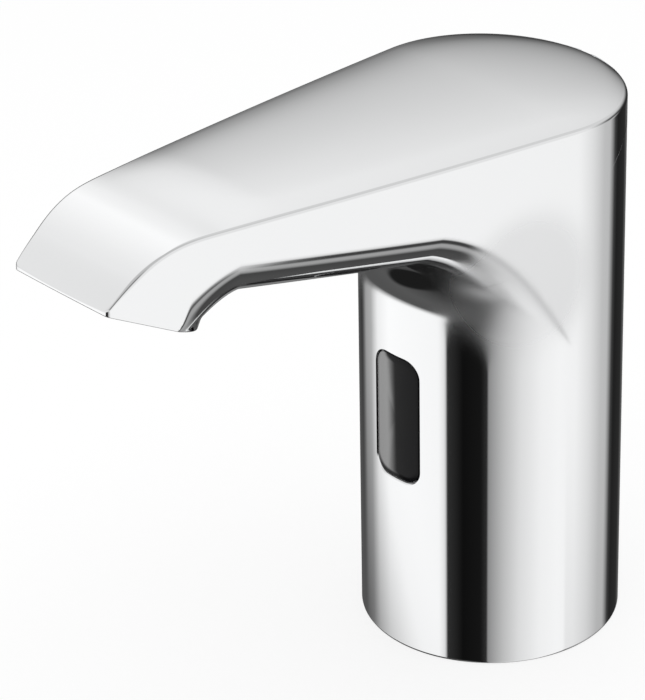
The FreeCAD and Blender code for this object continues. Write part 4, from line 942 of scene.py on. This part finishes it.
class MaterialBook:
    """Makes each finish once, from shared node groups."""

    BROAD = 0.12
    GRAZE_BEFORE = 0.03
    GRAZE_AFTER = 0.05

    def __init__(self) -> None:
        self.grain = self.grain_group()
        self.made: dict[Slot, bpy.types.Material] = {}

    def grain_group(self) -> bpy.types.NodeTree:
        """Fine and coarse mottling on Object coordinates, as one mask and one height."""
        group = bpy.data.node_groups.new("surface_grain", "ShaderNodeTree")
        sockets = ("Scale", "INPUT", "Float"), ("Stretch", "INPUT", "Vector")
        sockets += ("Mask", "OUTPUT", "Float"), ("Fine", "OUTPUT", "Float")
        for name, way, kind in sockets:
            group.interface.new_socket(name, in_out=way, socket_type="NodeSocket" + kind)
        graph, entry = Graph(group), group.nodes.new("NodeGroupInput").outputs
        place = graph.node("TexCoord").outputs["Object"]
        stretched = graph.node("VectorMath", {0: place, 1: entry["Stretch"]}, operation="MULTIPLY").outputs[0]
        broad = graph.math("MULTIPLY", entry["Scale"], self.BROAD)
        coarse = graph.node("TexNoise", {"Vector": stretched, "Scale": broad, "Detail": 3.0}).outputs["Fac"]
        inputs = {"Vector": stretched, "Scale": entry["Scale"], "Detail": 5.0, "Roughness": 0.6}
        fine = graph.node("TexNoise", inputs).outputs["Fac"]
        graph.feed(group.nodes.new("NodeGroupOutput"), {"Mask": graph.mix(0.5, coarse, fine), "Fine": fine})
        return group

    def material(self, slot: Slot) -> bpy.types.Material:
        """The slot's material."""
        if slot not in self.made:
            self.made[slot] = self.make(slot.value + "_finish", FINISHES[slot])
        return self.made[slot]

    def make(self, name: str, finish: Finish) -> bpy.types.Material:
        """Builds one material.

        Args:
            name: the material's name.
            finish: how it looks.

        Returns:
            The material.
        """
        material = bpy.data.materials.new(name)
        material.use_nodes = True
        graph, shader = Graph(material.node_tree), material.node_tree.nodes["Principled BSDF"]
        scales = {"Scale": finish.grain_scale, "Stretch": finish.stretch}
        grain = graph.node("Group", scales, node_tree=self.grain).outputs
        spread = finish.grain_rough / 2
        ends = {"To Min": max(finish.roughness - spread, 0.0), "To Max": finish.roughness + spread}
        rough = graph.node("MapRange", {"Value": grain["Mask"], **ends}).outputs["Result"]
        if finish.satin:
            rough = graph.math("MULTIPLY_ADD", self.hollows(graph), finish.satin, rough)
        dark, light = (
            (*(min(channel * (1 + sign * finish.grain_shade), 1.0) for channel in finish.colour), 1)
            for sign in (-1, 1)
        )
        tone = graph.node("Mix", {"Factor": grain["Mask"], "A": dark, "B": light}, data_type="RGBA")
        graph.feed(shader, {
            "Base Color": tone.outputs["Result"],
            "Metallic": finish.metallic,
            "Roughness": rough,
            "Coat Weight": finish.coat,
            "Specular IOR Level": finish.specular,
        })
        if finish.graze:
            self.add_graze(graph, finish.graze, shader)
        if finish.bump:
            heights = {"Strength": finish.bump, "Distance": BUMP_DEPTH, "Height": grain["Fine"]}
            graph.feed(shader, {"Normal": graph.node("Bump", heights).outputs["Normal"]})
        return material

    def hollows(self, graph: Graph) -> bpy.types.NodeSocket:
        """Mask of the hollows on both sides of the throat, where a polishing wheel hardly reaches."""
        place = graph.node("TexCoord").outputs["Object"]
        split = graph.node("SeparateXYZ", {"Vector": place}).outputs
        folded = {"X": graph.math("ABSOLUTE", split["X"]), "Y": split["Y"], "Z": split["Z"]}
        join = graph.node("CombineXYZ", folded).outputs["Vector"]
        far = graph.node("VectorMath", {0: join, 1: HOLLOW_MIDDLE}, operation="DISTANCE")
        return graph.step(far.outputs["Value"], *HOLLOW_REACH)

    def add_graze(self, graph: Graph, start: float, shader: bpy.types.Node) -> None:
        """A hard coat that comes on only at glancing angles, as on a lens with an interference layer.

        Args:
            graph: the material's nodes.
            start: the facing value at which the coat comes on.
            shader: the material's shader.
        """
        facing = graph.node("LayerWeight", {"Blend": 0.5}).outputs["Facing"]
        share = graph.step(facing, start - self.GRAZE_BEFORE, start + self.GRAZE_AFTER)
        graph.feed(shader, {"Coat IOR": 3.0, "Coat Roughness": 0.08, "Coat Weight": share})


def paint(obj: bpy.types.Object, material: bpy.types.Material) -> None:
    """Puts the material in the object's slots."""
    if obj.data.materials:
        for place in range(len(obj.data.materials)):
            obj.data.materials[place] = material
    else:
        obj.data.materials.append(material)


# ---------------------------------------------------------------- the tap


@dataclass(frozen=True)
class SpringForm:
    """A spring that a joint shortens: its node and joint, fixed end, length and the joint's travel."""

    node: str
    joint: str
    fixed_z: float
    length: float
    travel: float

    @property
    def keep(self) -> float:
        """Share of the length that is left at the joint's limit."""
        return 1 - self.travel / self.length


SPRINGS = (
    SpringForm("plunger_spring", "plunger_lift", 64.0 * MM, 5.9 * MM, 1.8 * MM),
    SpringForm("check_spring", "check_lift", 24.35 * MM, 6.4 * MM, 2.5 * MM),
)


@dataclass
class Tap:
    """The whole tap: what stands for CAD nodes, and the finish of each node."""

    form: CastingForm
    window: WindowForm
    book: MaterialBook

    SPRING_JOIN: ClassVar[float] = 1e-6

    def build(self) -> None:
        """Makes the pieces and paints the CAD nodes."""
        casting = CastingSkin(Casting(self.form), self.window).build("casting")
        self.stand_in(casting, "tap_body", Slot.CHROME)
        lens = build_lens(self.window, self.form, "lens")
        self.stand_in(lens, "sensor_window", Slot.LENS)
        rows = {row["node"]: Slot(row["material_slot"]) for row in frame["record"]["subparts"]}
        for node, slot in rows.items():
            paint(frame["nodes"][node], self.book.material(slot))
        for spring in SPRINGS:
            self.add_spring(spring, rows[spring.node])

    def add_spring(self, spring: SpringForm, slot: Slot) -> None:
        """A copy of a CAD spring, with its meeting vertices joined, that stands in for it on the fixed body.
        """
        mesh = frame["nodes"][spring.node].data.copy()
        mend(mesh, self.SPRING_JOIN)
        obj = new_object(spring.node + "_coil", mesh)
        self.stand_in(obj, spring.node, slot)
        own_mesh(obj)

    def stand_in(self, obj: bpy.types.Object, node: str, slot: Slot) -> None:
        """Makes obj ride with the fixed body in place of a CAD node."""
        paint(obj, self.book.material(slot))
        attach(obj, "body")
        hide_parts(node)


# ---------------------------------------------------------------- studio


@dataclass(frozen=True)
class PhotoCamera:
    """The photograph's camera, fitted to the tap's outline, in the row frame."""

    place: tuple[float, float, float] = (518.807 * MM, -512.900 * MM, 456.403 * MM)
    turn: float = math.radians(45.328)
    pitch: float = math.radians(28.824)
    yaw: float = math.radians(-2.506)
    roll: float = math.radians(-1.001)
    lens: float = 225.56
    sensor: float = 36.0

    def matrix(self) -> Matrix:
        """The camera's world matrix."""
        level, drop = math.cos(self.pitch), -math.sin(self.pitch)
        forward = Vector((math.sin(self.yaw) * level, math.cos(self.yaw) * level, drop))
        right = Vector((math.cos(self.yaw), -math.sin(self.yaw), 0))
        up = right.cross(forward)
        side = right * math.cos(self.roll) + up * math.sin(self.roll)
        head = up * math.cos(self.roll) - right * math.sin(self.roll)
        local = Matrix((side, head, -forward)).transposed().to_4x4()
        return Matrix.Translation(self.place) @ Matrix.Rotation(self.turn, 4, "Z") @ local


@dataclass(frozen=True)
class Patch:
    """A soft round patch of one level: its direction, where it is full and where it ends, in degrees."""

    azimuth: float
    elevation: float
    full: float
    end: float
    level: float

    def direction(self) -> tuple[float, float, float]:
        """Unit vector to the patch's middle, in the camera's frame."""
        turn, rise = math.radians(self.azimuth), math.radians(self.elevation)
        return (math.cos(turn) * math.cos(rise), math.sin(turn) * math.cos(rise), math.sin(rise))


@dataclass(frozen=True)
class ReflectionStudio:
    """What polished metal sees round the tap: soft panels, dark flags and a dark table with a pale middle.

    Each ramp holds (degrees, level) stops. Azimuths are counted from the direction of the photograph's
    camera, and elevations from the horizon.
    """

    ring: Stops = (
        (-180, 0.20), (-162, 0.06), (-151, 0.03), (-146, 0.12), (-139, 0.38), (-128, 0.46), (-116, 0.94),
        (-100, 1.08), (-46, 1.02), (-40, 0.80), (-38, 0.03), (-24, 0.005), (-8, 0.008), (-2.5, 0.03),
        (-1.5, 0.28), (12, 0.55), (26, 0.78), (45, 0.95), (62, 1.0), (80, 0.97), (96, 0.80), (112, 0.56),
        (121, 0.53), (130, 0.05), (136, 0.015), (156, 0.025), (168, 0.14), (180, 0.20),
    )
    sky: Stops = (
        (-90, 0.03), (2, 0.05), (10, 0.20), (15, 0.42), (20, 0.66), (24, 0.84), (28, 0.95), (36, 1.02),
        (90, 1.02),
    )
    sky_side: Stops = (
        (-180, 0.97), (-165, 1.04), (-120, 0.88), (100, 0.70), (160, 0.68), (170, 0.84), (180, 0.97),
    )
    front_side: Stops = ((-118, 0.0), (-92, 1.0), (88, 1.0), (112, 0.0))
    front: Stops = ((-90, 0.74), (30, 0.86), (38, 0.80), (45, 0.62), (60, 0.55), (90, 0.55))
    horizon: Stops = ((-18, 0.0), (2, 1.0))
    left_side: Stops = ((-180, 0.4), (-165, 1.0), (-24, 1.0), (-10, 0.0), (170, 0.0), (180, 0.4))
    left_start: Stops = ((-38, 1.0), (-33.5, 0.0))
    left_lean: float = 0.055
    left_shift: float = 2.5
    left: Stops = (
        (-90, 0.5), (-82, 0.5), (-76, 0.10), (-66, 0.03), (-56, 0.07), (-46, 0.10), (-38, 0.09), (90, 0.09),
    )
    right_side: Stops = ((60, 0.0), (66, 1.0), (165, 1.0), (180, 0.0))
    right_end: Stops = ((69, 0.0), (72, 1.0))
    right_lean: float = 0.3
    right_shift: float = 9.6
    right_start: Stops = ((-38, 1.0), (-35, 0.25), (-30, 0.0))
    right: Stops = (
        (-90, 0.55), (-74, 0.45), (-68, 0.08), (-56, 0.06), (-51, 0.36), (-46, 0.38), (-43, 0.05),
        (-38, 0.05), (90, 0.05),
    )
    patches: tuple[Patch, ...] = (
        Patch(80, -80, 8, 15, 0.5),
        Patch(-112, -62, 13, 17, 0.012),
        Patch(0, 34, 8, 26, 0.012),
    )


class Studio:
    """Floor, backdrop, light tent and camera."""

    FLOOR_HALF = 3.0
    FLOOR_LIFT = 0.78
    DIFFUSE_LEVEL = 0.62
    TENT_SIZE = 1.2
    TENT_WATTS = 9.0
    TENT_PLACE = (0.1, -0.1, 1.1)

    def __init__(self, camera: PhotoCamera, reflections: ReflectionStudio) -> None:
        self.camera = camera
        self.reflections = reflections

    def build(self) -> None:
        """Makes everything that isn't part of the tap."""
        self.add_camera()
        self.add_floor()
        self.add_world()
        self.add_tent()

    def add_camera(self) -> None:
        """The photograph's view."""
        data = bpy.data.cameras.new("photo_camera")
        data.sensor_width = self.camera.sensor
        data.lens = self.camera.lens
        data.clip_start = 0.01
        obj = new_object("photo_camera", data)
        obj.matrix_world = self.camera.matrix()
        bpy.context.scene.camera = obj

    def add_floor(self) -> None:
        """A wide pale floor, white to the camera away from the tap's shadow and open to reflections."""
        half = self.FLOOR_HALF
        corners = [(-half, -half, 0), (half, -half, 0), (half, half, 0), (-half, half, 0)]
        mesh = bpy.data.meshes.new("floor")
        mesh.from_pydata(corners, [], [(0, 1, 2, 3)])
        floor = new_object("floor", mesh)
        material = bpy.data.materials.new("pale_floor")
        material.use_nodes = True
        graph, nodes = Graph(material.node_tree), material.node_tree.nodes
        path, shader = graph.node("LightPath").outputs, nodes["Principled BSDF"]
        graph.feed(shader, {"Base Color": (0.9, 0.9, 0.9, 1), "Roughness": 0.6, "Specular IOR Level": 0.1})
        lift = graph.math("MULTIPLY", path["Is Camera Ray"], self.FLOOR_LIFT)
        glow, clear = graph.node("Emission").outputs[0], graph.node("BsdfTransparent").outputs[0]
        pale = graph.node("MixShader", {"Fac": lift, 1: shader.outputs["BSDF"], 2: glow}).outputs[0]
        shown = graph.node("MixShader", {"Fac": path["Is Glossy Ray"], 1: pale, 2: clear}).outputs[0]
        graph.feed(nodes["Material Output"], {"Surface": shown})
        mesh.materials.append(material)

    def add_world(self) -> None:
        """White to the camera, plain grey to diffuse surfaces, and the panels and flags to polished ones."""
        world = bpy.data.worlds.new("studio_world")
        world.use_nodes = True
        bpy.context.scene.world = world
        graph = Graph(world.node_tree)
        path = graph.node("LightPath").outputs
        plain = graph.mix(path["Is Camera Ray"], self.DIFFUSE_LEVEL, 1.0)
        shown = graph.mix(path["Is Glossy Ray"], plain, self.panels(graph))
        graph.feed(world.node_tree.nodes["Background"], {"Color": (1, 1, 1, 1), "Strength": shown})

    def panels(self, graph: Graph) -> bpy.types.NodeSocket:
        """Level that a polished surface sees in each direction.

        Args:
            graph: the world's nodes.

        Returns:
            The socket that carries the level.
        """
        cards, place = self.reflections, graph.node("TexCoord").outputs["Generated"]
        angle = {"Vector": place, "Angle": math.pi / 2 - self.camera.turn}
        turned = graph.node("VectorRotate", angle, rotation_type="Z_AXIS").outputs["Vector"]
        split = graph.node("SeparateXYZ", {"Vector": turned}).outputs
        azimuth = graph.math("MULTIPLY", graph.math("ARCTAN2", split["Y"], split["X"]), TO_DEGREES)
        elevation = graph.math("MULTIPLY", graph.math("ARCSINE", split["Z"]), TO_DEGREES)
        sky = graph.math("MULTIPLY", graph.ramp(cards.sky, elevation), graph.ramp(cards.sky_side, azimuth))
        sky = graph.mix(graph.ramp(cards.front_side, azimuth), sky, graph.ramp(cards.front, elevation))
        level = graph.mix(graph.ramp(cards.horizon, elevation), graph.ramp(cards.ring, azimuth), sky)
        leaning = graph.math("MULTIPLY_ADD", azimuth, cards.left_lean, elevation)
        start = graph.ramp(cards.left_start, graph.math("ADD", leaning, cards.left_shift))
        left = graph.math("MULTIPLY", graph.ramp(cards.left_side, azimuth), start)
        level = graph.mix(left, level, graph.ramp(cards.left, elevation))
        start = graph.ramp(cards.right_start, elevation)
        right = graph.math("MULTIPLY", graph.ramp(cards.right_side, azimuth), start)
        leaning = graph.math("MULTIPLY_ADD", elevation, cards.right_lean, azimuth)
        end = graph.ramp(cards.right_end, graph.math("ADD", leaning, cards.right_shift))
        level = graph.mix(graph.math("MULTIPLY", right, end), level, graph.ramp(cards.right, elevation))
        for patch in cards.patches:
            toward = graph.node("VectorMath", {0: turned, 1: patch.direction()}, operation="DOT_PRODUCT")
            away = graph.math("MULTIPLY", graph.math("ARCCOSINE", toward.outputs["Value"]), TO_DEGREES)
            level = graph.mix(graph.step(away, patch.end, patch.full), level, patch.level)
        return level

    def add_tent(self) -> None:
        """A wide soft light overhead, kept out of reflections."""
        light = bpy.data.lights.new("soft_top", "AREA")
        light.shape = "RECTANGLE"
        light.size = light.size_y = self.TENT_SIZE
        light.energy = self.TENT_WATTS
        obj = new_object("soft_top", light)
        obj.location = self.TENT_PLACE
        obj.visible_glossy = False


def main() -> None:
    """Builds the tap, then the studio round it."""
    Tap(CastingForm(), WindowForm(), MaterialBook()).build()
    Studio(PhotoCamera(), ReflectionStudio()).build()
    bpy.context.scene.view_settings.view_transform = "Standard"


if __name__ == "__main__":
    main()
